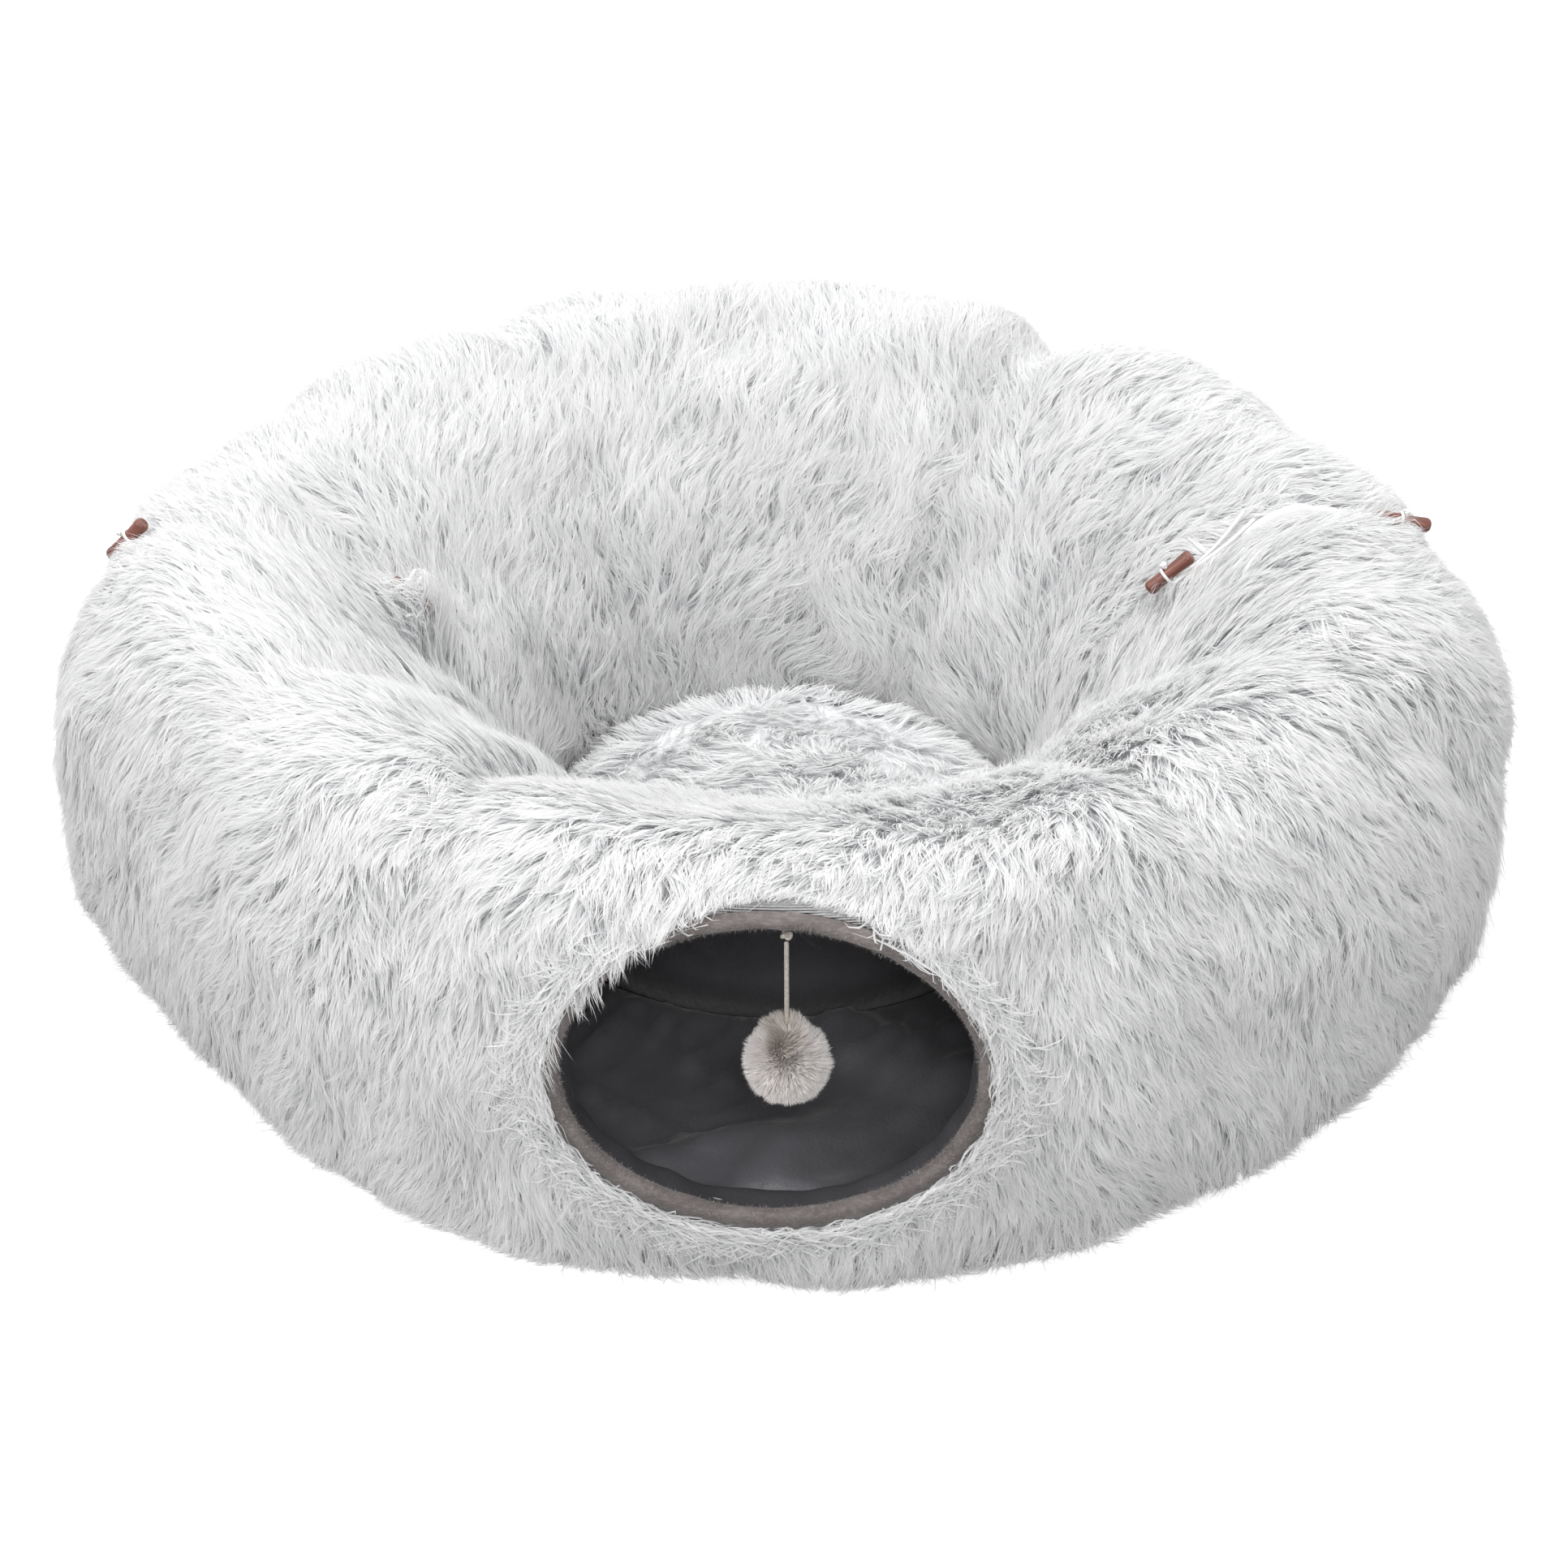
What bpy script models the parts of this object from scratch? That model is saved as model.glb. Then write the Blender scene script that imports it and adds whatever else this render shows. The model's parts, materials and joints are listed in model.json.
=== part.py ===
"""Donut cat tunnel: two fur covered half tunnels buttoned into a ring round a loose cushion.

Metres, +Z up. The origin is on the floor at the middle of the ring, and the mouth faces -Y.
Azimuth runs anticlockwise from +X. Turn runs over the tube, from 0 at the outer foot
through 90 at the crest to 180 at the inner foot. Inset is the depth under the pile's surface.
"""

import math

import bmesh
import bpy
import numpy as np
from mathutils import Vector
from mathutils.bvhtree import BVHTree

# Ring
RING_RADIUS = 0.425
SEAT_RADIUS = 0.147
RING_HEIGHT = 0.244
RADIUS_SHARES = (
    1.070, 1.010, 0.995, 0.985, 0.975, 1.008, 1.010, 1.025,
    1.072, 0.975, 0.960, 0.980, 0.976, 0.995, 0.985, 1.025,
)
HEIGHT_SHARES = (0.970, 0.970, 0.980, 0.990, 0.970, 1.000, 1.030, 1.000)
CREST_SHARES = (0.59, 0.59, 0.59, 0.59, 0.59, 0.62, 0.68, 0.62)
OUTER_POWER = 0.75
OUTER_RISE_POWER = 0.85
INNER_POWER = 1.4
INNER_RISE_POWER = 0.9
FLOOR_TUCK = 0.013
TUCK_TURN = 32.0

# Creases where the cover sinks between the hoops: azimuth and share of the full depth
CREASE_DEPTH = 0.030
CREASE_WIDTH = 0.060
CREASE_SHARES = (
    (28, 0.30), (58, 0.90), (124, 0.42), (150, 0.30),
    (207, 0.36), (237, 0.46), (306, 0.38), (338, 0.25),
)
SEAM_CREASE_SHARE = 0.40
CREASE_FADE_POWER = 0.7

# Layers of the tube, from outside in
PILE_THICKNESS = 0.014
WADDING_THICKNESS = 0.008
HOOP_WIRE = 0.003
LINING_THICKNESS = 0.0015
BASE_THICKNESS = 0.004
FLOOR_PAD_THICKNESS = 0.008
OUTER_FOOT_SHARE = 0.25
SEWN_GAP = 0.0003

# Seams between the halves
SEAM_AZIMUTH = 8.0
SEAM_HALF_GAP = 0.0003
END_BINDING_THICKNESS = 0.0025
END_BINDING_INSET = 0.009
END_BINDING_LIFT = 0.0008
END_HOOP_SETBACK = 0.009

# Mouth
MOUTH_AZIMUTH = -91.2
MOUTH_WIDTH = 0.244
MOUTH_SILL = 0.040
MOUTH_HEAD_DROP = 0.0205
MOUTH_BINDING_WIDTH = 0.0095
MOUTH_BINDING_INSET = 0.005
FELT_THICKNESS = 0.0022

# Toy that hangs in the mouth
POMPOM_DIAMETER = 0.048
TOY_CORD_LENGTH = 0.054
TOY_CORD_DIAMETER = 0.0026
TOY_KNOT_DIAMETER = 0.0075
TOY_CORD_OFFSET = 0.012
TOY_SEAT_GAP = 0.0011

# Toggle closures
TOGGLE_LENGTH = 0.034
TOGGLE_DIAMETER = 0.0092
TOGGLE_PROFILE_SHARES = ((0.72, 1.0), (1.0, 0.87), (0.92, 0.67), (0.84, 0.20))
TOGGLE_HOLE_CLEARANCE = 0.0004
TOGGLE_CLEARANCE = 0.0026
TOGGLE_CORD_DIAMETER = 0.0026
TOGGLE_KNOT_DIAMETER = 0.0056
KNOT_SHARES = ((0.0, 1.0), (0.7, 0.8), (1.0, 0.4), (0.8, 0.0))
LOOP_DIAMETER = 0.0024
LOOP_SEAT_GAP = 0.0008
LOOP_ANCHOR_SETBACK = 0.014
LOOP_POINT_SPACING = 0.0032
# Where each toggle stands: its turn, its distance from the seam, and how far its loop slants along the seam
CLOSURES = {
    "right_outer": (70.0, 0.019, 0.0),
    "right_inner": (127.0, 0.013, 64.0),
    "left_outer": (62.0, 0.019, 0.0),
    "left_inner": (132.0, 0.019, 0.0),
}

# Cushion in the middle
CUSHION_CLEARANCE = 0.0005
CUSHION_HEIGHT = 0.062
CUSHION_COVER_THICKNESS = 0.010
CUSHION_BASE_THICKNESS = 0.003
CUSHION_CROWN_SHARES = (
    (0.0, 1.0), (0.30, 0.985), (0.56, 0.93), (0.78, 0.82), (0.93, 0.66),
    (1.0, 0.50), (0.97, 0.42), (1.0, 0.34), (0.985, 0.16), (0.935, 0.0),
)

# Facets
FRONT_SIDE_COLUMNS = 8
MOUTH_COLUMNS = 8
MOUTH_ROWS = 6
FRONT_UPPER_ROWS = 7
FRONT_HOOP_COLUMN = 4
BACK_COLUMNS = 17
BACK_HOOP_COLUMN = 6
BACK_ROWS = 10
FLOOR_COLUMNS_ACROSS = 2
ROUND_STEPS = 32
SMALL_ROUND_STEPS = 12
POMPOM_STEPS = 20
TOY_CORD_STEPS = 12
LOOP_BEND_STEPS = 6
WIRE_RESOLUTION = 2
DROP_ROUNDS = 12
OUTER_SKIN = "outer"
MERGE = 0.00001
LENGTH_SAMPLES = 361
SMALL_ANGLE = 0.25
OVERRUN_SHARE = 1.5

WIRE_RADIUS = HOOP_WIRE / 2
WADDING_INSET = PILE_THICKNESS + SEWN_GAP
HOOP_INSET = WADDING_INSET + WADDING_THICKNESS + SEWN_GAP + WIRE_RADIUS
LINING_INSET = HOOP_INSET + WIRE_RADIUS + SEWN_GAP
WALL_THICKNESS = LINING_INSET + LINING_THICKNESS
SHELL_SETBACK = SEAM_HALF_GAP + END_BINDING_THICKNESS + SEWN_GAP
LAYER_FLOOR = BASE_THICKNESS + SEWN_GAP
FLOOR_HEIGHT = LAYER_FLOOR + FLOOR_PAD_THICKNESS
OUTER_FOOT_HEIGHT = FLOOR_HEIGHT + WALL_THICKNESS * OUTER_FOOT_SHARE
INNER_FOOT_HEIGHT = FLOOR_HEIGHT + WALL_THICKNESS
FULL_TURN = 180.0


def clear_scene():
    for obj in list(bpy.data.objects):
        bpy.data.objects.remove(obj, do_unlink=True)


def new_collection(name):
    collection = bpy.data.collections.new(name)
    bpy.context.scene.collection.children.link(collection)
    return collection


def new_material(name, colour, roughness, metallic=0.0):
    material = bpy.data.materials.new(name)
    material.use_nodes = True
    shader = material.node_tree.nodes["Principled BSDF"]
    shader.inputs["Base Color"].default_value = (*colour, 1.0)
    shader.inputs["Roughness"].default_value = roughness
    shader.inputs["Metallic"].default_value = metallic
    material.diffuse_color = (*colour, 1.0)
    return material


def add_object(name, data, material, collection):
    obj = bpy.data.objects.new(name, data)
    collection.objects.link(obj)
    if material:
        data.materials.append(material)
    return obj


# Shape of the tube


def around(shares, azimuth):
    """A smooth value from shares given at even steps round the ring."""
    place = azimuth / (2 * FULL_TURN) % 1 * len(shares)
    step = int(place)
    part = place - step
    before, here, there, after = (shares[(step + k) % len(shares)] for k in (-1, 0, 1, 2))
    curve = 2 * before - 5 * here + 4 * there - after
    cubic = 3 * (here - there) + after - before
    return here + part / 2 * (there - before + part * (curve + part * cubic))


def section_point(azimuth, turn):
    """(radius, height) of the pile's surface, before the creases."""
    outer = RING_RADIUS * around(RADIUS_SHARES, azimuth)
    height = RING_HEIGHT * around(HEIGHT_SHARES, azimuth)
    crest = SEAT_RADIUS + (outer - SEAT_RADIUS) * around(CREST_SHARES, azimuth)
    across = math.cos(math.radians(turn))
    rise = max(math.sin(math.radians(turn)), 0.0)
    if across >= 0:
        tuck = FLOOR_TUCK * max(1 - turn / TUCK_TURN, 0.0) ** 2
        return crest + (outer - crest) * across**OUTER_POWER - tuck, height * rise**OUTER_RISE_POWER
    return crest - (crest - SEAT_RADIUS) * (-across) ** INNER_POWER, height * rise**INNER_RISE_POWER


def section_normal(azimuth, turn):
    """Unit (radius, height) direction out of the surface."""
    r0, z0 = section_point(azimuth, max(turn - SMALL_ANGLE, 0.0))
    r1, z1 = section_point(azimuth, min(turn + SMALL_ANGLE, FULL_TURN))
    size = math.hypot(r1 - r0, z1 - z0)
    return (z1 - z0) / size, (r0 - r1) / size


def crease(azimuth, turn):
    """Depth of the creases here. They fade out above the straight foot of each wall."""
    foot = math.sin(math.radians(OUTER_FOOT_TURN if turn < FULL_TURN / 2 else INNER_FOOT_TURN))
    fade = (math.sin(math.radians(turn)) - foot) / (1 - foot)
    if fade <= 0:
        return 0.0
    depth = 0.0
    seams = ((SEAM_AZIMUTH, SEAM_CREASE_SHARE), (FULL_TURN - SEAM_AZIMUTH, SEAM_CREASE_SHARE))
    for centre, share in CREASE_SHARES + seams:
        away = (azimuth - centre + FULL_TURN) % (2 * FULL_TURN) - FULL_TURN
        distance = math.radians(away) * RING_RADIUS / (CREASE_WIDTH / 2)
        depth += CREASE_DEPTH * share * math.exp(-distance * distance)
    return depth * fade**CREASE_FADE_POWER


def ring_point(azimuth, turn, inset, shift=0.0):
    """A point of the layer at this inset, moved along the ring by shift."""
    radius, height = section_point(azimuth, turn)
    out, up = section_normal(azimuth, turn)
    depth = inset + crease(azimuth, turn)
    radius -= out * depth
    height -= up * depth
    angle = math.radians(azimuth)
    radial = Vector((math.cos(angle), math.sin(angle), 0.0))
    tangent = Vector((-math.sin(angle), math.cos(angle), 0.0))
    return radial * radius + tangent * shift + Vector((0.0, 0.0, height))


def turn_at_height(azimuth, height, inner=False):
    """Turn at which the outer or the inner wall reaches a height."""
    full = RING_HEIGHT * around(HEIGHT_SHARES, azimuth)
    power = INNER_RISE_POWER if inner else OUTER_RISE_POWER
    turn = math.degrees(math.asin((height / full) ** (1 / power)))
    return FULL_TURN - turn if inner else turn


def wall_lengths(azimuth):
    """Turns at even steps, and the wall's length from the outer foot to each."""
    turns = np.linspace(0.0, FULL_TURN, LENGTH_SAMPLES)
    points = np.array([section_point(azimuth, turn) for turn in turns])
    steps = np.linalg.norm(np.diff(points, axis=0), axis=1)
    return turns, np.concatenate([[0.0], np.cumsum(steps)])


def even_turns(azimuth, first, last, steps):
    """Turns from first to last, evenly spaced along the wall."""
    turns, lengths = wall_lengths(azimuth)
    ends = np.interp((first, last), turns, lengths)
    return list(np.interp(np.linspace(*ends, steps + 1), lengths, turns))


OUTER_FOOT_TURN = turn_at_height(MOUTH_AZIMUTH, OUTER_FOOT_HEIGHT)
INNER_FOOT_TURN = turn_at_height(MOUTH_AZIMUTH, INNER_FOOT_HEIGHT, inner=True)
SILL_TURN = turn_at_height(MOUTH_AZIMUTH, MOUTH_SILL)
HEAD_TURN = turn_at_height(MOUTH_AZIMUTH, section_point(MOUTH_AZIMUTH, 90.0)[1] - MOUTH_HEAD_DROP)


def layer_point(azimuth, turn, inset, shift, floor):
    """Like ring_point, but each wall's foot runs straight down to the layer's floor."""
    if 0 < turn < FULL_TURN:
        return ring_point(azimuth, turn, inset, shift)
    foot_turn = OUTER_FOOT_TURN if turn <= 0 else INNER_FOOT_TURN
    start = ring_point(azimuth, foot_turn, inset, shift)
    top = ring_point(azimuth, foot_turn, 0.0)
    low = ring_point(azimuth, turn, 0.0)
    slope = (top - low) / (top.z - low.z)
    return start - slope * (start.z - floor)


# Mouth


MOUTH_RADIUS = section_point(MOUTH_AZIMUTH, (SILL_TURN + HEAD_TURN) / 2)[0]
MOUTH_HALF_ANGLE = math.degrees(MOUTH_WIDTH / 2 / MOUTH_RADIUS)
MOUTH_TURNS, MOUTH_LENGTHS = wall_lengths(MOUTH_AZIMUTH)
SILL_LENGTH, HEAD_LENGTH = np.interp((SILL_TURN, HEAD_TURN), MOUTH_TURNS, MOUTH_LENGTHS)
MOUTH_MIDDLE = (SILL_LENGTH + HEAD_LENGTH) / 2
MOUTH_HALF_LENGTH = (HEAD_LENGTH - SILL_LENGTH) / 2


def mouth_place(angle, margin=0.0):
    """(azimuth, turn) on the mouth's oval, margin inside the edge of its hole."""
    across = MOUTH_HALF_ANGLE * (1 - margin * 2 / MOUTH_WIDTH) * math.cos(angle)
    along = (MOUTH_HALF_LENGTH - margin) * math.sin(angle)
    return MOUTH_AZIMUTH + across, float(np.interp(MOUTH_MIDDLE + along, MOUTH_LENGTHS, MOUTH_TURNS))


def mouth_point(angle, margin, inset):
    azimuth, turn = mouth_place(angle, margin)
    return ring_point(azimuth, turn, inset)


def mouth_angles():
    """Angles of the hole's corners, in the order of the block of cells that it replaces."""
    half_columns = MOUTH_COLUMNS / 2
    half_rows = MOUTH_ROWS / 2
    corners = [(half_columns, j) for j in np.arange(-half_rows, half_rows)]
    corners += [(i, half_rows) for i in np.arange(half_columns, -half_columns, -1)]
    corners += [(-half_columns, j) for j in np.arange(half_rows, -half_rows, -1)]
    corners += [(i, -half_rows) for i in np.arange(-half_columns, half_columns)]
    return [square_angle(i / half_columns, j / half_rows) for i, j in corners]


def square_angle(across, along):
    """Angle on the oval for a place on the edge of the square from -1 to 1."""
    if abs(across) >= abs(along):
        angle = math.pi / 4 * along / abs(across)
        return angle if across > 0 else math.pi - angle
    angle = math.pi / 2 - math.pi / 4 * across / abs(along)
    return angle if along > 0 else -angle


# Fabric layers


def fabric(name, columns, rows, skins, floor, material, collection, with_mouth=False):
    """A layer of the tube between two insets, over the given columns and rows."""
    bm = bmesh.new()
    last_column = len(columns) - 1
    last_row = len(rows) - 1
    bmesh.ops.create_grid(bm, x_segments=last_column, y_segments=last_row, size=1)
    outer = bm.verts.layers.int.new(OUTER_SKIN)

    def cell(co):
        return (co.x + 1) / 2 * last_column, (co.y + 1) / 2 * last_row

    mouth = MouthBlock(columns, rows)
    if with_mouth:
        inside = [face for face in bm.faces if mouth.holds(*cell(face.calc_center_median()))]
        bmesh.ops.delete(bm, geom=inside, context="FACES")
    extruded = bmesh.ops.extrude_face_region(bm, geom=bm.faces[:])
    second = {item for item in extruded["geom"] if isinstance(item, bmesh.types.BMVert)}
    for vertex in bm.verts:
        i, j = (round(value) for value in cell(vertex.co))
        vertex[outer] = vertex not in second
        inset = skins[0] if vertex[outer] else skins[1]
        azimuth, shift = columns[i]
        turn = rows[j]
        if with_mouth and mouth.borders(i, j):
            azimuth, turn = mouth.edge_place(i, j)
        vertex.co = layer_point(azimuth, turn, inset, shift, floor)
    bmesh.ops.recalc_face_normals(bm, faces=bm.faces[:])
    mesh = bpy.data.meshes.new(name)
    bm.to_mesh(mesh)
    bm.free()
    mesh.shade_smooth()
    return add_object(name, mesh, material, collection)


class MouthBlock:
    """The block of cells that the mouth takes out of the front half's grid."""

    def __init__(self, columns, rows):
        edge = MOUTH_AZIMUTH - MOUTH_HALF_ANGLE
        self.left = int(np.argmin([abs(azimuth - edge) for azimuth, _ in columns]))
        self.right = self.left + MOUTH_COLUMNS
        self.low = int(np.argmin([abs(turn - SILL_TURN) for turn in rows]))
        self.high = self.low + MOUTH_ROWS

    def holds(self, i, j):
        return self.left < i < self.right and self.low < j < self.high

    def borders(self, i, j):
        return self.left <= i <= self.right and self.low <= j <= self.high

    def edge_place(self, i, j):
        """(azimuth, turn) on the oval for a corner on the block's edge."""
        across = (i - (self.left + self.right) / 2) / (MOUTH_COLUMNS / 2)
        along = (j - (self.low + self.high) / 2) / (MOUTH_ROWS / 2)
        return mouth_place(square_angle(across, along))


def seam_columns(azimuths, setback):
    """Columns from seam to seam: one at each end, one where the end hoop stands, and those between."""
    first, last = azimuths[0], azimuths[-1]
    start = [(first, setback), (first, setback + END_HOOP_SETBACK)]
    end = [(last, -setback - END_HOOP_SETBACK), (last, -setback)]
    return start + [(azimuth, 0.0) for azimuth in azimuths[1:-1]] + end


def front_azimuths():
    first_edge = MOUTH_AZIMUTH - MOUTH_HALF_ANGLE
    last_edge = MOUTH_AZIMUTH + MOUTH_HALF_ANGLE
    left = list(np.linspace(-FULL_TURN - SEAM_AZIMUTH, first_edge, FRONT_SIDE_COLUMNS + 1))
    middle = list(np.linspace(first_edge, last_edge, MOUTH_COLUMNS + 1))
    right = list(np.linspace(last_edge, SEAM_AZIMUTH, FRONT_SIDE_COLUMNS + 1))
    return left + middle[1:-1] + right


def back_azimuths():
    return list(np.linspace(SEAM_AZIMUTH, FULL_TURN - SEAM_AZIMUTH, BACK_COLUMNS + 1))


def front_rows():
    block = even_turns(MOUTH_AZIMUTH, SILL_TURN, HEAD_TURN, MOUTH_ROWS)
    upper = even_turns(MOUTH_AZIMUTH, HEAD_TURN, INNER_FOOT_TURN, FRONT_UPPER_ROWS)
    return [0.0, OUTER_FOOT_TURN] + block + upper[1:] + [FULL_TURN]


def back_rows():
    return [0.0] + even_turns(90.0, OUTER_FOOT_TURN, INNER_FOOT_TURN, BACK_ROWS) + [FULL_TURN]


def floor_sheet(name, columns, inset, low, thickness, material, collection):
    """A flat C of floor between the feet of the layer at this inset."""
    bm = bmesh.new()
    last_column = len(columns) - 1
    bmesh.ops.create_grid(bm, x_segments=last_column, y_segments=FLOOR_COLUMNS_ACROSS, size=1)
    extruded = bmesh.ops.extrude_face_region(bm, geom=bm.faces[:])
    second = {item for item in extruded["geom"] if isinstance(item, bmesh.types.BMVert)}
    for vertex in bm.verts:
        azimuth, shift = columns[round((vertex.co.x + 1) / 2 * last_column)]
        level = low + (thickness if vertex in second else 0.0)
        outer = layer_point(azimuth, 0.0, inset, shift, level)
        inner = layer_point(azimuth, FULL_TURN, inset, shift, level)
        vertex.co = outer.lerp(inner, (vertex.co.y + 1) / 2)
    bmesh.ops.recalc_face_normals(bm, faces=bm.faces[:])
    mesh = bpy.data.meshes.new(name)
    bm.to_mesh(mesh)
    bm.free()
    return add_object(name, mesh, material, collection)


def loft(name, rings, material, collection):
    """A closed ring of closed sections."""
    bm = bmesh.new()
    corners = [[bm.verts.new(point) for point in ring] for ring in rings]
    for ring, after in zip(corners, corners[1:] + corners[:1]):
        for k in range(len(ring)):
            following = (k + 1) % len(ring)
            bm.faces.new((ring[k], ring[following], after[following], after[k]))
    bmesh.ops.recalc_face_normals(bm, faces=bm.faces[:])
    mesh = bpy.data.meshes.new(name)
    bm.to_mesh(mesh)
    bm.free()
    return add_object(name, mesh, material, collection)


def wire(name, points, diameter, material, collection, closed=False, origin=None):
    """A round wire or cord along points."""
    origin = origin or Vector((0.0, 0.0, 0.0))
    curve = bpy.data.curves.new(name, "CURVE")
    curve.dimensions = "3D"
    curve.bevel_depth = diameter / 2
    curve.bevel_resolution = WIRE_RESOLUTION
    curve.use_fill_caps = not closed
    spline = curve.splines.new("POLY")
    spline.points.add(len(points) - 1)
    for place, point in zip(spline.points, points):
        place.co = (*(point - origin), 1.0)
    spline.use_cyclic_u = closed
    spline.use_smooth = True
    obj = add_object(name, curve, material, collection)
    obj.location = origin
    return obj


def turned(name, profile, steps, material, collection):
    """A shape turned round its own Z axis from (radius, height) points, outer side running down."""
    mesh = bpy.data.meshes.new(name)
    edges = [(k, k + 1) for k in range(len(profile) - 1)]
    mesh.from_pydata([(radius, 0.0, height) for radius, height in profile], edges, [])
    obj = add_object(name, mesh, material, collection)
    screw = obj.modifiers.new("turn", "SCREW")
    screw.steps = steps
    screw.render_steps = steps
    screw.use_merge_vertices = True
    screw.merge_threshold = MERGE
    screw.use_smooth_shade = True
    return obj


# Halves


def make_half(side, azimuths, rows, with_mouth, materials, collection):
    """The layers, floor and bindings of one half tunnel."""
    columns = seam_columns(azimuths, SHELL_SETBACK)

    def layer(part, skins, floor, material):
        fabric(f"{side}_{part}", columns, rows, skins, floor, material, collection, with_mouth)

    layer("fur_cover", (0.0, PILE_THICKNESS), 0.0, materials["fur"])
    layer("wadding", (WADDING_INSET, WADDING_INSET + WADDING_THICKNESS), LAYER_FLOOR, materials["wadding"])
    layer("lining", (LINING_INSET, WALL_THICKNESS), LAYER_FLOOR, materials["lining"])

    def floor(part, inset, low, thickness, material):
        floor_sheet(f"{side}_{part}", columns, inset, low, thickness, material, collection)

    floor("base_panel", PILE_THICKNESS + SEWN_GAP, 0.0, BASE_THICKNESS, materials["base"])
    floor("floor_pad", WALL_THICKNESS + SEWN_GAP, LAYER_FLOOR, FLOOR_PAD_THICKNESS, materials["lining"])


def make_end_bindings(side, azimuths, rows, names, material, collection):
    """The tape that closes the layers at each end of a half."""
    near = SEAM_HALF_GAP
    far = SEAM_HALF_GAP + END_BINDING_THICKNESS
    ends = ((azimuths[0], near, far), (azimuths[-1], -far, -near))
    for place, (azimuth, first, last) in zip(names, ends):
        columns = [(azimuth, first), (azimuth, last)]
        skins = (END_BINDING_INSET, WALL_THICKNESS)
        fabric(f"{side}_end_binding_{place}", columns, rows, skins, END_BINDING_LIFT, material, collection)


def make_hoops(side, azimuths, rows, column, names, material, collection):
    """Sprung wire arches between the wadding and the lining, with their feet on the base panel."""
    setback = SHELL_SETBACK + END_HOOP_SETBACK
    places = [
        (azimuths[0], setback),
        (azimuths[column], 0.0),
        (azimuths[-1 - column], 0.0),
        (azimuths[-1], -setback),
    ]
    for place, (azimuth, shift) in zip(names, places):
        points = [layer_point(azimuth, turn, HOOP_INSET, shift, LAYER_FLOOR) for turn in rows]
        wire(f"{side}_hoop_{place}", points, HOOP_WIRE, material, collection)


# Mouth binding, its hoop and the toy


def make_mouth(materials, collection):
    front = MOUTH_BINDING_INSET
    back = WALL_THICKNESS
    edge = SEWN_GAP
    width = MOUTH_BINDING_WIDTH
    felt = FELT_THICKNESS
    channel = (
        (edge, front),
        (width, front),
        (width, back),
        (edge, back),
        (edge, back - felt),
        (width - felt, back - felt),
        (width - felt, front + felt),
        (edge, front + felt),
    )
    rings = [[mouth_point(angle, margin, inset) for margin, inset in channel] for angle in mouth_angles()]
    loft("mouth_binding", rings, materials["felt"], collection)
    middle = (front + back) / 2
    points = []
    for angle in mouth_angles():
        web = mouth_point(angle, width - felt, middle)
        outward = mouth_point(angle, edge, middle) - web
        points.append(web + outward.normalized() * (SEWN_GAP + WIRE_RADIUS))
    wire("mouth_hoop", points, HOOP_WIRE, materials["steel"], collection, closed=True)


def make_toy(materials, collection):
    """The pom-pom on its cord, which swings from a knot under the mouth's upper edge."""
    angle = math.acos(TOY_CORD_OFFSET / (MOUTH_WIDTH / 2))
    knot_radius = TOY_KNOT_DIAMETER / 2
    middle = (MOUTH_BINDING_INSET + WALL_THICKNESS) / 2
    pivot = mouth_point(angle, MOUTH_BINDING_WIDTH + TOY_SEAT_GAP + knot_radius, middle)

    knot = ball("pompom_knot", knot_radius, SMALL_ROUND_STEPS, materials["cord"], collection)
    knot.location = pivot
    top = pivot - Vector((0.0, 0.0, knot_radius + SEWN_GAP))
    bottom = top - Vector((0.0, 0.0, TOY_CORD_LENGTH))
    points = [top.lerp(bottom, k / TOY_CORD_STEPS) for k in range(TOY_CORD_STEPS + 1)]
    wire("pompom_cord", points, TOY_CORD_DIAMETER, materials["cord"], collection, origin=pivot)
    pompom = ball("pompom", POMPOM_DIAMETER / 2, POMPOM_STEPS, materials["pompom"], collection)
    pompom.location = bottom - Vector((0.0, 0.0, SEWN_GAP + POMPOM_DIAMETER / 2))
    return pivot


def outer_skin(objects):
    """The facets of the outer skins of several fabric layers, for finding the surface under a point."""
    corners = []
    triangles = []
    for obj in objects:
        first = len(corners)
        corners += [vertex.co for vertex in obj.data.vertices]
        outer = [item.value for item in obj.data.attributes[OUTER_SKIN].data]
        obj.data.calc_loop_triangles()
        for face in obj.data.loop_triangles:
            if all(outer[k] for k in face.vertices):
                triangles.append([first + k for k in face.vertices])
    return BVHTree.FromPolygons(corners, triangles, all_triangles=True)


def place_along(obj, place, direction):
    """Puts an object's own Z axis on a direction."""
    obj.rotation_mode = "QUATERNION"
    obj.rotation_quaternion = direction.to_track_quat("Z", "Y")
    obj.location = place


def ball(name, radius, steps, material, collection):
    bm = bmesh.new()
    bmesh.ops.create_uvsphere(bm, u_segments=steps, v_segments=steps * 2 // 3, radius=radius)
    mesh = bpy.data.meshes.new(name)
    bm.to_mesh(mesh)
    bm.free()
    mesh.shade_smooth()
    return add_object(name, mesh, material, collection)


# Toggle closures


def toggle_frame(covers, azimuth, turn):
    """The toggle's place on the covers' facets, and the directions over the tube and out of the facet."""
    here, out = covers.find_nearest(ring_point(azimuth, turn, 0.0))[:2]
    span = ring_point(azimuth, turn + SMALL_ANGLE, 0.0) - ring_point(azimuth, turn - SMALL_ANGLE, 0.0)
    return here, (span - out * span.dot(out)).normalized(), out


def toggle_profile():
    """Half outline of a barrel toggle with rounded ends and a slim waist, top to bottom."""
    upper = [(TOGGLE_DIAMETER / 2 * r, TOGGLE_LENGTH / 2 * z) for r, z in TOGGLE_PROFILE_SHARES]
    lower = [(r, -z) for r, z in reversed(upper)]
    return [(0.0, TOGGLE_LENGTH / 2)] + upper + lower + [(0.0, -TOGGLE_LENGTH / 2)]


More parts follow.
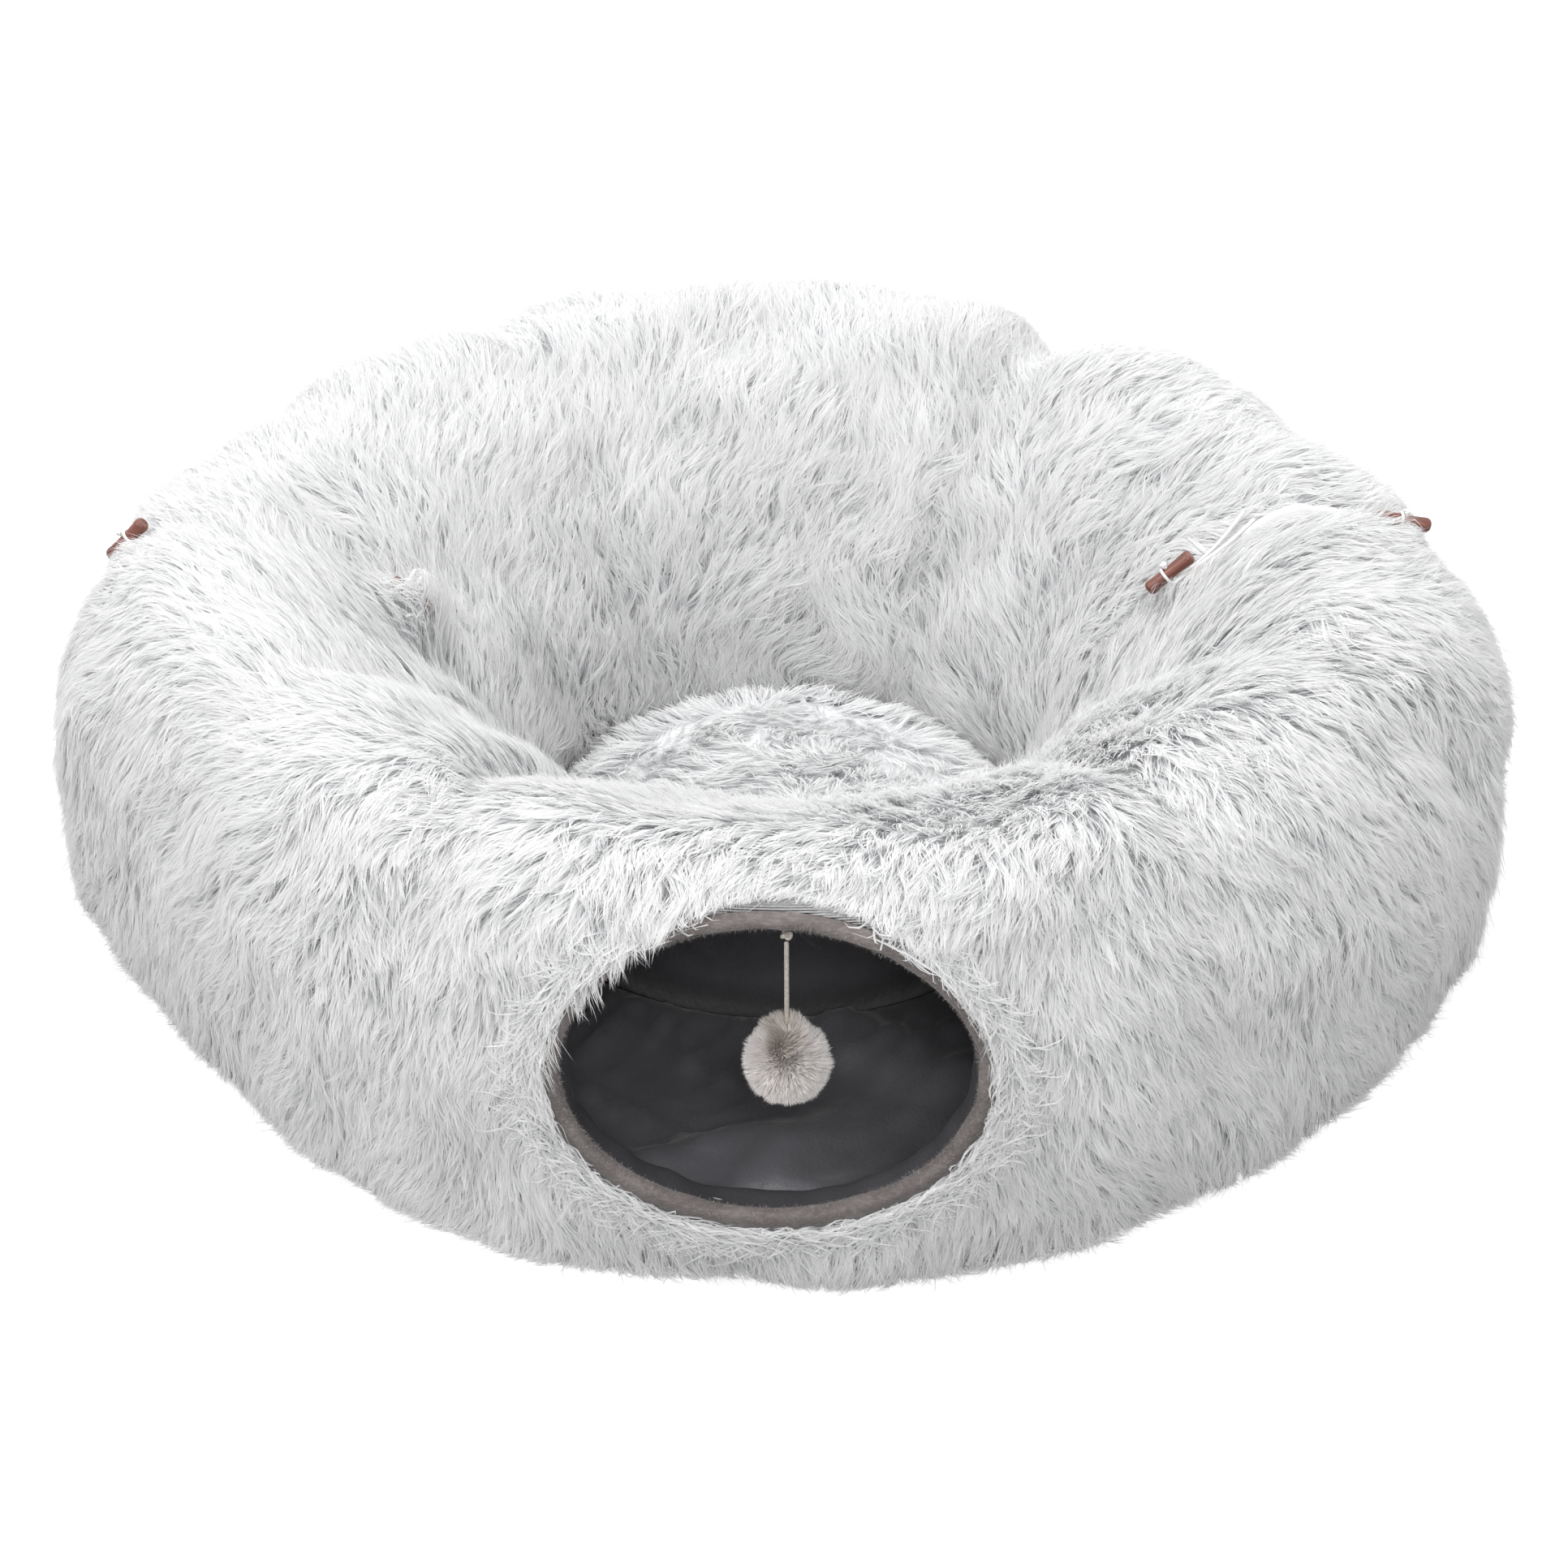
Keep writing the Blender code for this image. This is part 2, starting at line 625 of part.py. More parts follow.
def make_toggle(name, frame, materials, collection, cutters):
    """A barrel toggle with a cross hole, standing on its cord over the loop's end."""
    here, over, out = frame
    lift = LOOP_SEAT_GAP + LOOP_DIAMETER + TOGGLE_CLEARANCE + TOGGLE_DIAMETER / 2
    centre = here + out * lift
    toggle = turned(f"toggle_{name}", toggle_profile(), SMALL_ROUND_STEPS, materials["toggle"], collection)
    place_along(toggle, centre, over)

    hole = bmesh.new()
    hole_radius = TOGGLE_CORD_DIAMETER / 2 + TOGGLE_HOLE_CLEARANCE
    bmesh.ops.create_cone(
        hole,
        cap_ends=True,
        segments=SMALL_ROUND_STEPS,
        radius1=hole_radius,
        radius2=hole_radius,
        depth=TOGGLE_DIAMETER * OVERRUN_SHARE,
    )
    mesh = bpy.data.meshes.new(f"toggle_hole_{name}")
    hole.to_mesh(mesh)
    hole.free()
    cutter = add_object(f"toggle_hole_{name}", mesh, None, cutters)
    place_along(cutter, centre, out)
    cutter.hide_render = True
    cutter.display_type = "WIRE"
    cut = toggle.modifiers.new("cross hole", "BOOLEAN")
    cut.operation = "DIFFERENCE"
    cut.object = cutter

    make_toggle_cord(name, here, out, lift, materials["loop"], collection)


def make_toggle_cord(name, here, out, lift, material, collection):
    """The short cord sewn to the front half, up through the toggle to a knot on top of it."""
    radius = TOGGLE_CORD_DIAMETER / 2
    knot = TOGGLE_KNOT_DIAMETER / 2
    seat = lift + TOGGLE_DIAMETER / 2 + SEWN_GAP
    profile = [(knot * r, seat + knot * z) for r, z in KNOT_SHARES]
    profile += [(radius, seat), (radius, SEWN_GAP), (0.0, SEWN_GAP)]
    cord = turned(f"toggle_cord_{name}", profile, SMALL_ROUND_STEPS, material, collection)
    place_along(cord, here, out)


def make_loop(name, frame, direction, covers, material, collection):
    """The loop of cord sewn to the back half, laid over the seam and round the toggle's cord."""
    here, over, out = frame
    _, setback, slant = CLOSURES[name]
    across = over.cross(out) * direction
    heading = math.radians(slant)
    along = across * math.cos(heading) - over * math.sin(heading)
    aside = over * math.cos(heading) + across * math.sin(heading)
    bend = (TOGGLE_CORD_DIAMETER + LOOP_DIAMETER) / 2 + SEWN_GAP
    height = LOOP_SEAT_GAP + LOOP_DIAMETER / 2

    def on_pile(u, v):
        point = here + along * u + aside * v
        for _ in range(DROP_ROUNDS):
            place, normal = covers.find_nearest(point)[:2]
            point += out * (place - point).dot(out)
        return point + out * (height / normal.dot(out))

    length = (setback + LOOP_ANCHOR_SETBACK) / math.cos(heading)
    legs = list(np.linspace(length, 0.0, math.ceil(length / LOOP_POINT_SPACING) + 1))
    bends = np.linspace(math.pi / 2, -math.pi / 2, LOOP_BEND_STEPS + 1)[1:-1]
    points = [on_pile(u, bend) for u in legs]
    points += [on_pile(-bend * math.cos(b), bend * math.sin(b)) for b in bends]
    points += [on_pile(u, -bend) for u in legs[::-1]]
    wire(f"loop_{name}", points, LOOP_DIAMETER, material, collection)


def make_closures(covers, materials, collection, cutters):
    """Toggles on the front half and loops on the back half, over each seam's two shoulders."""
    pivots = {}
    for side, seam, direction in (("right", SEAM_AZIMUTH, 1), ("left", FULL_TURN - SEAM_AZIMUTH, -1)):
        for name in (f"{side}_outer", f"{side}_inner"):
            turn, setback, _ = CLOSURES[name]
            ring_radius = section_point(seam, turn)[0]
            azimuth = seam - direction * math.degrees(setback / ring_radius)
            frame = toggle_frame(covers, azimuth, turn)
            make_toggle(name, frame, materials, collection, cutters)
            make_loop(name, frame, direction, covers, materials["loop"], collection)
            pivots[name] = (frame[0], frame[2])
    return pivots


# Cushion


def make_cushion(materials, collection):
    """The loose round cushion: fur cover open below, its filling and its base fabric."""
    radius = SEAT_RADIUS - CUSHION_CLEARANCE
    base = CUSHION_BASE_THICKNESS
    cover_height = CUSHION_HEIGHT
    outer = [(radius * r, cover_height * z) for r, z in CUSHION_CROWN_SHARES]
    rim = outer[-1][0] - CUSHION_COVER_THICKNESS
    inner_radius_share = (radius - CUSHION_COVER_THICKNESS) / radius
    inner_height = cover_height - CUSHION_COVER_THICKNESS
    inner = [(r * inner_radius_share, inner_height * z / cover_height) for r, z in outer[:-1]]
    profile = outer + [(rim, 0.0)] + inner[::-1]
    turned("cushion_cover", profile, ROUND_STEPS, materials["fur"], collection)

    shrink = (radius - CUSHION_COVER_THICKNESS - SEWN_GAP) / radius
    fill_low = base + SEWN_GAP
    fill_high = inner_height - SEWN_GAP
    filling = [(r * shrink, max(fill_high * z / cover_height, fill_low)) for r, z in outer[:-2]]
    foot = rim - SEWN_GAP
    filling += [(foot, fill_low), (0.0, fill_low)]
    turned("cushion_filling", filling, ROUND_STEPS, materials["wadding"], collection)

    disc = [(0.0, base), (foot, base), (foot, 0.0), (0.0, 0.0)]
    turned("cushion_base", disc, ROUND_STEPS, materials["base"], collection)


def make_materials():
    return {
        "fur": new_material("long white fur", (0.80, 0.80, 0.82), 0.9),
        "wadding": new_material("white wadding", (0.88, 0.88, 0.86), 0.95),
        "lining": new_material("charcoal lining", (0.035, 0.036, 0.040), 0.45),
        "base": new_material("grey base fabric", (0.09, 0.09, 0.095), 0.8),
        "felt": new_material("taupe felt", (0.27, 0.245, 0.235), 0.9),
        "tape": new_material("white satin tape", (0.82, 0.82, 0.83), 0.5),
        "steel": new_material("spring steel", (0.45, 0.45, 0.46), 0.35, 1.0),
        "cord": new_material("beige cord", (0.55, 0.51, 0.47), 0.8),
        "loop": new_material("white cord", (0.85, 0.85, 0.85), 0.7),
        "pompom": new_material("cream pompom", (0.75, 0.72, 0.70), 0.9),
        "toggle": new_material("red brown toggle", (0.19, 0.055, 0.035), 0.4),
    }


def report(pivot, pivots):
    """Prints the joint axes, which the solids alone don't show."""
    print("toy pivot", [round(value, 5) for value in pivot])
    for name, (place, axis) in pivots.items():
        print("toggle", name, [round(v, 5) for v in place], [round(v, 5) for v in axis])


def main():
    clear_scene()
    parts = new_collection("donut_cat_tunnel")
    cutters = new_collection("cutters")
    materials = make_materials()

    front = front_azimuths()
    back = back_azimuths()
    make_half("front", front, front_rows(), True, materials, parts)
    make_end_bindings("front", front, front_rows(), ("left", "right"), materials["tape"], parts)
    names = ("left", "mid_left", "mid_right", "right")
    make_hoops("front", front, front_rows(), FRONT_HOOP_COLUMN, names, materials["steel"], parts)
    make_half("back", back, back_rows(), False, materials, parts)
    make_end_bindings("back", back, back_rows(), ("right", "left"), materials["tape"], parts)
    make_hoops("back", back, back_rows(), BACK_HOOP_COLUMN, names[::-1], materials["steel"], parts)
    make_mouth(materials, parts)
    pivot = make_toy(materials, parts)
    covers = outer_skin([parts.objects["front_fur_cover"], parts.objects["back_fur_cover"]])
    pivots = make_closures(covers, materials, parts, cutters)
    make_cushion(materials, parts)
    report(pivot, pivots)


main()
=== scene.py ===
"""Looks of a donut cat tunnel: long pile fur, satin lining, felt binding, toggles and toy.

Metres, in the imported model's frame: +Z up, the mouth faces -Y, azimuth anticlockwise from +X.
Turn runs over the tube, from 0 at the outer foot through 90 at the crest to 180 at the inner
foot. Share is the part of the wall's length from the outer foot, and inset is the depth under
the pile's mean surface.
"""

import json
import math

import bpy
import numpy as np
from mathutils import Matrix, Vector
from mathutils.bvhtree import BVHTree
from mathutils.kdtree import KDTree


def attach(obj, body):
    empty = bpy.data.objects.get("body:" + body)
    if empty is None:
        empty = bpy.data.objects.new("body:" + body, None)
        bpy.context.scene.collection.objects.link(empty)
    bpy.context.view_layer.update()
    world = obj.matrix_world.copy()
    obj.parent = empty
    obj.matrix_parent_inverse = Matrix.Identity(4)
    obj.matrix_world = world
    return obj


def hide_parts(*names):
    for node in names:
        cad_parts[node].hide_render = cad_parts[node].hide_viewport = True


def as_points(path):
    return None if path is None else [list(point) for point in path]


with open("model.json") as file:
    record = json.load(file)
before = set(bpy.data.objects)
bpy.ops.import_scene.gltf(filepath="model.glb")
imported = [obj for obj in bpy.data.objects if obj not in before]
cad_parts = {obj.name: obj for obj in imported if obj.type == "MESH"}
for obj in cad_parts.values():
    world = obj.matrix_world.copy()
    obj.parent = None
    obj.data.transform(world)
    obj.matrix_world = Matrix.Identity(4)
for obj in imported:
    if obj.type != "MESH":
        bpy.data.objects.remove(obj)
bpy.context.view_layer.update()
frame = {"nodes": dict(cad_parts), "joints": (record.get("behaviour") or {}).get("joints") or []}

# Camera, at the photograph's place: a square picture, with pixels given in its own size
PICTURE_SIZE = 1932
FOCAL_PIXELS = 4346.3
CAMERA_DISTANCE = 2.2036
CAMERA_ELEVATION = 34.12
CAMERA_ROLL = 0.309
CAMERA_LEFT_PIXELS = 2.77
TARGET_HEIGHT = 0.0548
SENSOR = 36.0

# Light: name, place, size and power of each lamp, the sky's strength from its foot to its top, and
# how much light the floor throws back and gives off
LIGHTS = (
    ("key", (-1.8, -0.9, 2.0), 2.0, 26),
    ("top", (0.40, 0.45, 2.8), 2.6, 44),
    ("front", (0.1, -1.9, 1.5), 0.6, 12),
)
SKY_LOW = 0.10
SKY_HIGH = 1.15
FLOOR_SHADE = 0.45
FLOOR_GLOW = 0.66

# Ring, as the solids have it
RING_RADIUS = 0.425
SEAT_RADIUS = 0.147
RING_HEIGHT = 0.244
RADIUS_SHARES = (
    1.070, 1.010, 0.995, 0.985, 0.975, 1.008, 1.010, 1.025,
    1.072, 0.975, 0.960, 0.980, 0.976, 0.995, 0.985, 1.025,
)
HEIGHT_SHARES = (0.970, 0.970, 0.980, 0.990, 0.970, 1.000, 1.030, 1.000)
CREST_SHARES = (0.59, 0.59, 0.59, 0.59, 0.59, 0.62, 0.68, 0.62)
OUTER_POWER = 0.75
OUTER_RISE_POWER = 0.85
INNER_POWER = 1.4
INNER_RISE_POWER = 0.9
FLOOR_TUCK = 0.013
TUCK_TURN = 32.0
CREASE_DEPTH = 0.030
CREASE_WIDTH = 0.060
SEAM_AZIMUTH = 8.0
# Creases: azimuth and share of the depth
CREASES = (
    (28, 0.30), (58, 0.90), (124, 0.42), (150, 0.30),
    (207, 0.36), (237, 0.46), (306, 0.38), (338, 0.25),
    (SEAM_AZIMUTH, 0.40), (180 - SEAM_AZIMUTH, 0.40),
)
CREASE_FADE_POWER = 0.7
SMALL_ANGLE = 0.25
FULL_TURN = 180.0
SIDES = {
    "front": (-FULL_TURN - SEAM_AZIMUTH, SEAM_AZIMUTH),
    "back": (SEAM_AZIMUTH, FULL_TURN - SEAM_AZIMUTH),
}

# Layers, as the solids have them
SEWN_GAP = 0.0003
WADDING_INSET = 0.0143
WADDING_THICKNESS = 0.008
LINING_INSET = 0.0259
WALL_THICKNESS = 0.0274
SHELL_SETBACK = 0.0031
BASE_THICKNESS = 0.004
LAYER_FLOOR = 0.0043
FLOOR_PAD_THICKNESS = 0.008
FLOOR_HEIGHT = 0.0123
OUTER_FOOT_HEIGHT = FLOOR_HEIGHT + WALL_THICKNESS * 0.25
INNER_FOOT_HEIGHT = FLOOR_HEIGHT + WALL_THICKNESS

# Cloths of this file: their depths, and the mean radii that their cells are counted at
BACKING_INSET = 0.0118
BACKING_THICKNESS = 0.0016
LINING_THICKNESS = 0.0012
BASE_INSET = 0.0143
TUBE_MEAN_RADIUS = 0.34
FLOOR_MEAN_RADIUS = 0.28
FLOOR_WIDTH = 0.22
# Distances, along the ring and in turn, over which the folds of the cloths die out
FOLD_FADE = 0.03
FOLD_FADE_TURN = 14
FLOOR_FOLD_FADE = 0.02
# Folds of the lining and of the floor: height, spacing, stretch and heading
LINING_FOLDS = (
    (0.0110, 0.110, 5.0, 78.0), (0.0080, 0.080, 5.0, 40.0),
    (0.0050, 0.040, 4.0, -40.0), (0.0022, 0.018, 4.0, 60.0),
)
FLOOR_FOLDS = (
    (0.0150, 0.110, 5.0, 38.0), (0.0110, 0.070, 5.0, -35.0),
    (0.0060, 0.038, 4.0, 62.0), (0.0024, 0.018, 3.0, 10.0),
)
QUILT_HEIGHT = 0.0012
# How long the simulation of stuffed cloth runs
CLOTH_FRAMES = 20

# Mouth, as the solids have it
MOUTH_AZIMUTH = -91.2
MOUTH_WIDTH = 0.244
MOUTH_SILL = 0.040
MOUTH_HEAD_DROP = 0.0205
FELT_WIDTH = 0.0100
FELT_INSET = 0.0040
FELT_THICKNESS = 0.0022
FELT_CORNER = 0.0036
FELT_REAR = 0.0128
# Number of the felt's short fibres
FELT_FUZZ = 16000

# Toy, as the solids have it
TOY_KNOT_RADIUS = 0.00375
TOY_CORD_LENGTH = 0.054
TOY_CORD_DIAMETER = 0.0026
POMPOM_RADIUS = 0.024
# Form under the pom-pom's strands, their number, and the share of the radius at which they start
POMPOM_HEART_RADIUS = 0.0165
POMPOM_STRANDS = 14000
POMPOM_ROOT_SHARE = 0.45

# Braided cords: distance between rings, corners of a ring, depth of the strands and size of knots
CORD_STEP = 0.00030
CORD_CORNERS = 20
CORD_DEPTH = 0.13
KNOT_SHARE = 0.62

# Toggle closures, as the solids have them
TOGGLE_LENGTH = 0.034
TOGGLE_DIAMETER = 0.0092
TOGGLE_SEAT = 0.0104
TOGGLE_CORD_DIAMETER = 0.0026
TOGGLE_KNOT_RADIUS = 0.0028
LOOP_DIAMETER = 0.0024
LOOP_ANCHOR_SETBACK = 0.014
TOGGLE_HOLE_RADIUS = 0.0017
# Cord wound on a toggle's waist, and its distance from the toggle's middle
WRAP_DIAMETER = 0.0019
WRAP_OFFSET = 0.0029
# Distance from the seam, slant along the seam and side of each closure
CLOSURES = {
    "right_outer": (0.019, 0.0, 1),
    "right_inner": (0.013, 64.0, 1),
    "left_outer": (0.019, 0.0, -1),
    "left_inner": (0.019, 0.0, -1),
}

# Tape along the ends of the halves, and how far it comes out of the pile over the back right end
TAPE_INSET = 0.009
TAPE_RISE = 0.0115
TAPE_THICKNESS = 0.0025
TAPE_SWELL = 0.0050
TAPE_CREST_TURN = 100.0
TAPE_CREST_SPREAD = 20.0

# Cushion, as the solids have it
CUSHION_RADIUS = 0.1465
CUSHION_HEIGHT = 0.062
CUSHION_CROWN_SHARES = (
    (0.0, 1.0), (0.30, 0.985), (0.56, 0.93), (0.78, 0.82), (0.93, 0.66),
    (1.0, 0.50), (0.97, 0.42), (1.0, 0.34), (0.985, 0.16), (0.935, 0.0),
)
CUSHION_COVER_THICKNESS = 0.010
CUSHION_BASE_THICKNESS = 0.003

# Pile
SEED = 7
# Lowest place of the pile, and height of its lumps
LEAST_HEIGHT = 0.0006
PILE_LUMP = 0.0022
# Places along a strand at which it has its width, its taper there, and the width on its UV layer
PATH_SHARES = np.array([0.0, 0.22, 0.48, 0.76, 1.0])
RIBBON_WIDTH = 0.00086
RIBBON_TAPER = np.array([0.55, 0.95, 1.0, 0.62])
BAKED_WIDTH = 0.012
# How the length varies by patch and by clump, its limits, and how far clumps and locks bend
LENGTH_BY_PATCH = 0.14
LENGTH_BY_CLUMP = 0.10
LENGTH_SHARES = (0.4, 1.4)
LEAST_LENGTH_SHARE = 0.2
CLUMP_BEND = 0.30
LOCK_BEND = 0.42
LOCK_RISE = (-0.001, 0.0042)
LOCK_REACH = 0.022
LOCK_TONE = 0.08
# Single strands: share of the length that they reach, and how they leave their clump
STRAY_SHARE = 0.09
STRAY_REACH = (0.95, 1.12)
STRAND_REACH = (0.66, 1.04)
ROOT_SPREAD = 0.0021
TIP_SPREAD = 0.0009
STRAY_SPREAD = 4.0
STRAND_WAVE = 0.0012
STRAND_TWIST = 0.38
STRAND_TONE = 0.20
# Turn at which the pile parts, at the foot of the inner wall, and how it leans near the crest
PARTING_TURN = 186.0
CREST_LEANS = (
    -0.05, -0.1, -0.15, -0.1, 0.0, -0.1, -0.2, -0.5,
    -0.9, -1.2, -1.1, -0.8, -0.6, -0.5, -0.35, -0.15,
)
# How far the pile hangs over the mouth's edge: angle on the oval, spread and reach
OVERHANG_LEAST = 0.0010
OVERHANGS = (
    (142.0, 30.0, 0.022), (15.0, 40.0, 0.008), (190.0, 25.0, 0.007), (84.0, 26.0, -0.0075),
)
FRINGE_STRANDS = 4600
FRINGE_LENGTHS = (0.014, 0.034)
FRINGE_MARGINS = (-0.0105, 0.0005)
FRINGE_TAPER = np.array([0.6, 0.95, 1.0, 0.7])
# Angle on the oval round which the fringe has no strands, and the spread of that gap
FRINGE_GAP = (84, 40)
# How near a strand's middle has to be to a toggle to be moved by it, and the gap kept from it
TOGGLE_REACH = 0.09
TOGGLE_CLEARANCE = 0.0006
# Pieces that each half's pile is split into, and the two piles: numbers of clumps, of ribbons in
# a clump and of locks, length of the strands and depth of their roots
SECTORS = {"front": 10, "back": 8}
RING_PILE = {"clumps": 78000, "ribbons": 6, "locks": 10500, "length": 0.032, "root": 0.0108}
CUSHION_PILE = {"clumps": 4700, "ribbons": 6, "locks": 800, "length": 0.026, "root": 0.0075}


# Shape of the tube


def around(shares, azimuth):
    """A smooth value from shares given at even steps round the ring."""
    shares = np.array(shares)
    place = np.mod(np.asarray(azimuth) / 360.0, 1.0) * len(shares)
    step = place.astype(int)
    part = place - step
    before, here, there, after = (shares[(step + k) % len(shares)] for k in (-1, 0, 1, 2))
    curve = 2 * before - 5 * here + 4 * there - after
    cubic = 3 * (here - there) + after - before
    return here + part / 2 * (there - before + part * (curve + part * cubic))


def away_from(centre, angle):
    """Degrees from a middle angle to others, from -180 to 180."""
    return np.mod(angle - centre + 180, 360) - 180


def bell(value, width):
    """1 where the value is 0, and falling to nothing over about two widths on each side."""
    return np.exp(-((value / width) ** 2))


def section(azimuth, turn):
    """(radius, height) of the pile's surface, before the creases."""
    outer = RING_RADIUS * around(RADIUS_SHARES, azimuth)
    height = RING_HEIGHT * around(HEIGHT_SHARES, azimuth)
    crest = SEAT_RADIUS + (outer - SEAT_RADIUS) * around(CREST_SHARES, azimuth)
    across = np.cos(np.radians(turn))
    rise = np.maximum(np.sin(np.radians(turn)), 0.0)
    tuck = FLOOR_TUCK * np.maximum(1 - turn / TUCK_TURN, 0.0) ** 2
    outside = across >= 0
    reach = np.abs(across)
    out_radius = crest + (outer - crest) * reach**OUTER_POWER - tuck
    in_radius = crest - (crest - SEAT_RADIUS) * reach**INNER_POWER
    radius = np.where(outside, out_radius, in_radius)
    return radius, height * np.where(outside, rise**OUTER_RISE_POWER, rise**INNER_RISE_POWER)


def section_normal(azimuth, turn):
    """Unit (radius, height) direction out of the surface."""
    r0, z0 = section(azimuth, np.maximum(turn - SMALL_ANGLE, 0.0))
    r1, z1 = section(azimuth, np.minimum(turn + SMALL_ANGLE, FULL_TURN))
    size = np.hypot(r1 - r0, z1 - z0)
    return (z1 - z0) / size, (r0 - r1) / size


def turn_at_height(azimuth, height, inner=False):
    """The turn at which a wall of the ring has this height."""
    full = RING_HEIGHT * float(around(HEIGHT_SHARES, azimuth))
    power = INNER_RISE_POWER if inner else OUTER_RISE_POWER
    turn = math.degrees(math.asin((height / full) ** (1 / power)))
    return FULL_TURN - turn if inner else turn


OUTER_FOOT_TURN = turn_at_height(MOUTH_AZIMUTH, OUTER_FOOT_HEIGHT)
INNER_FOOT_TURN = turn_at_height(MOUTH_AZIMUTH, INNER_FOOT_HEIGHT, inner=True)


def crease(azimuth, turn):
    """Depth of the folds between the hoops."""
    foot_turn = np.where(turn < FULL_TURN / 2, OUTER_FOOT_TURN, INNER_FOOT_TURN)
    foot = np.sin(np.radians(foot_turn))
    fade = np.maximum((np.sin(np.radians(turn)) - foot) / (1 - foot), 0.0)
    depth = np.zeros_like(fade)
    for centre, share in CREASES:
        distance = np.radians(away_from(centre, azimuth)) * RING_RADIUS / (CREASE_WIDTH / 2)
        depth = depth + CREASE_DEPTH * share * np.exp(-distance * distance)
    return depth * fade**CREASE_FADE_POWER


def ring_point(azimuth, turn, inset, shift=0.0):
    """Points of the layer at this inset, moved along the ring by shift."""
    radius, height = section(azimuth, turn)
    out, up = section_normal(azimuth, turn)
    depth = inset + crease(azimuth, turn)
    radius = radius - out * depth
    height = height - up * depth
    cos, sin = np.cos(np.radians(azimuth)), np.sin(np.radians(azimuth))
    return np.stack([radius * cos - shift * sin, radius * sin + shift * cos, height], axis=-1)


def layer_point(azimuth, turn, inset, shift, floor):
    """Like ring_point, but each wall's foot runs straight down to the layer's floor."""
    azimuth, turn, inset, shift = np.broadcast_arrays(azimuth, turn, inset, shift)
    outer = turn < FULL_TURN / 2
    foot_turn = np.where(outer, OUTER_FOOT_TURN, INNER_FOOT_TURN)
    edge_turn = np.where(outer, 0.0, FULL_TURN)
    part = np.clip((turn - foot_turn) / (edge_turn - foot_turn), 0.0, 1.0)
    points = ring_point(azimuth, np.where(part > 0, foot_turn, turn), inset, shift)
    top = ring_point(azimuth, foot_turn, 0.0)
    low = ring_point(azimuth, edge_turn, 0.0)
    slope = (top - low) / (top - low)[..., 2:]
    return points - slope * (points[..., 2:] - floor) * part[..., None]


def unit(vectors):
    """The vectors at length 1."""
    return vectors / np.maximum(np.linalg.norm(vectors, axis=-1, keepdims=True), 1e-12)


def smooth_step(low, high, value):
    """0 up to low, 1 from high, and smooth between."""
    part = np.clip((value - low) / (high - low), 0.0, 1.0)
    return part * part * (3 - 2 * part)


class Waves:
    """Smooth noise in space, of about unit size, with features of a given length."""

    def __init__(self, rng, length, count=10):
        self.vectors = unit(rng.normal(size=(count, 3))) * (2 * math.pi / length)
        self.vectors /= rng.uniform(0.7, 1.5, (count, 1))
        self.phases = rng.uniform(0, 2 * math.pi, count)

    def __call__(self, points):
        total = np.zeros(points.shape[:-1])
        for vector, phase in zip(self.vectors, self.phases):
            total += np.sin(points @ vector + phase)
        return total / math.sqrt(len(self.phases) / 2)


# Mouth's oval


def wall_table(azimuth):
    """Turns at even steps, and the wall's length from the outer foot to each."""
    turns = np.linspace(0, FULL_TURN, 721)
    radius, height = section(np.full_like(turns, azimuth), turns)
    steps = np.hypot(np.diff(radius), np.diff(height))
    return turns, np.concatenate([[0.0], np.cumsum(steps)])


MOUTH_TURNS, MOUTH_LENGTHS = wall_table(MOUTH_AZIMUTH)
MOUTH_CREST = float(section(np.array(MOUTH_AZIMUTH), np.array(90.0))[1])
SILL_TURN = turn_at_height(MOUTH_AZIMUTH, MOUTH_SILL)
HEAD_TURN = turn_at_height(MOUTH_AZIMUTH, MOUTH_CREST - MOUTH_HEAD_DROP)
SILL_LENGTH, HEAD_LENGTH = np.interp((SILL_TURN, HEAD_TURN), MOUTH_TURNS, MOUTH_LENGTHS)
MOUTH_MIDDLE = (SILL_LENGTH + HEAD_LENGTH) / 2
MOUTH_HALF_LENGTH = (HEAD_LENGTH - SILL_LENGTH) / 2
MOUTH_RADIUS = float(section(np.array(MOUTH_AZIMUTH), np.array((SILL_TURN + HEAD_TURN) / 2))[0])
MOUTH_HALF_ANGLE = math.degrees(MOUTH_WIDTH / 2 / MOUTH_RADIUS)


def mouth_place(azimuth, turn):
    """(across, along) on the oval, which is at distance 1 from its middle."""
    across = away_from(MOUTH_AZIMUTH, azimuth) / MOUTH_HALF_ANGLE
    along = (np.interp(turn, MOUTH_TURNS, MOUTH_LENGTHS) - MOUTH_MIDDLE) / MOUTH_HALF_LENGTH
    return across, along


def in_mouth(azimuth, turn):
    """How far inside the edge of the mouth's hole a place is, in metres; less than 0 outside."""
    across, along = mouth_place(azimuth, turn)
    reach = np.maximum(np.hypot(across, along), 1e-6)
    return (1 - reach) * np.hypot(across * MOUTH_WIDTH / 2, along * MOUTH_HALF_LENGTH) / reach


def from_mouth(angle, margin):
    """(azimuth, turn) at angles on the oval, margin inside the edge of its hole."""
    across = MOUTH_HALF_ANGLE * (1 - margin * 2 / MOUTH_WIDTH) * np.cos(angle)
    along = (MOUTH_HALF_LENGTH - margin) * np.sin(angle)
    return MOUTH_AZIMUTH + across, np.interp(MOUTH_MIDDLE + along, MOUTH_LENGTHS, MOUTH_TURNS)


# Meshes


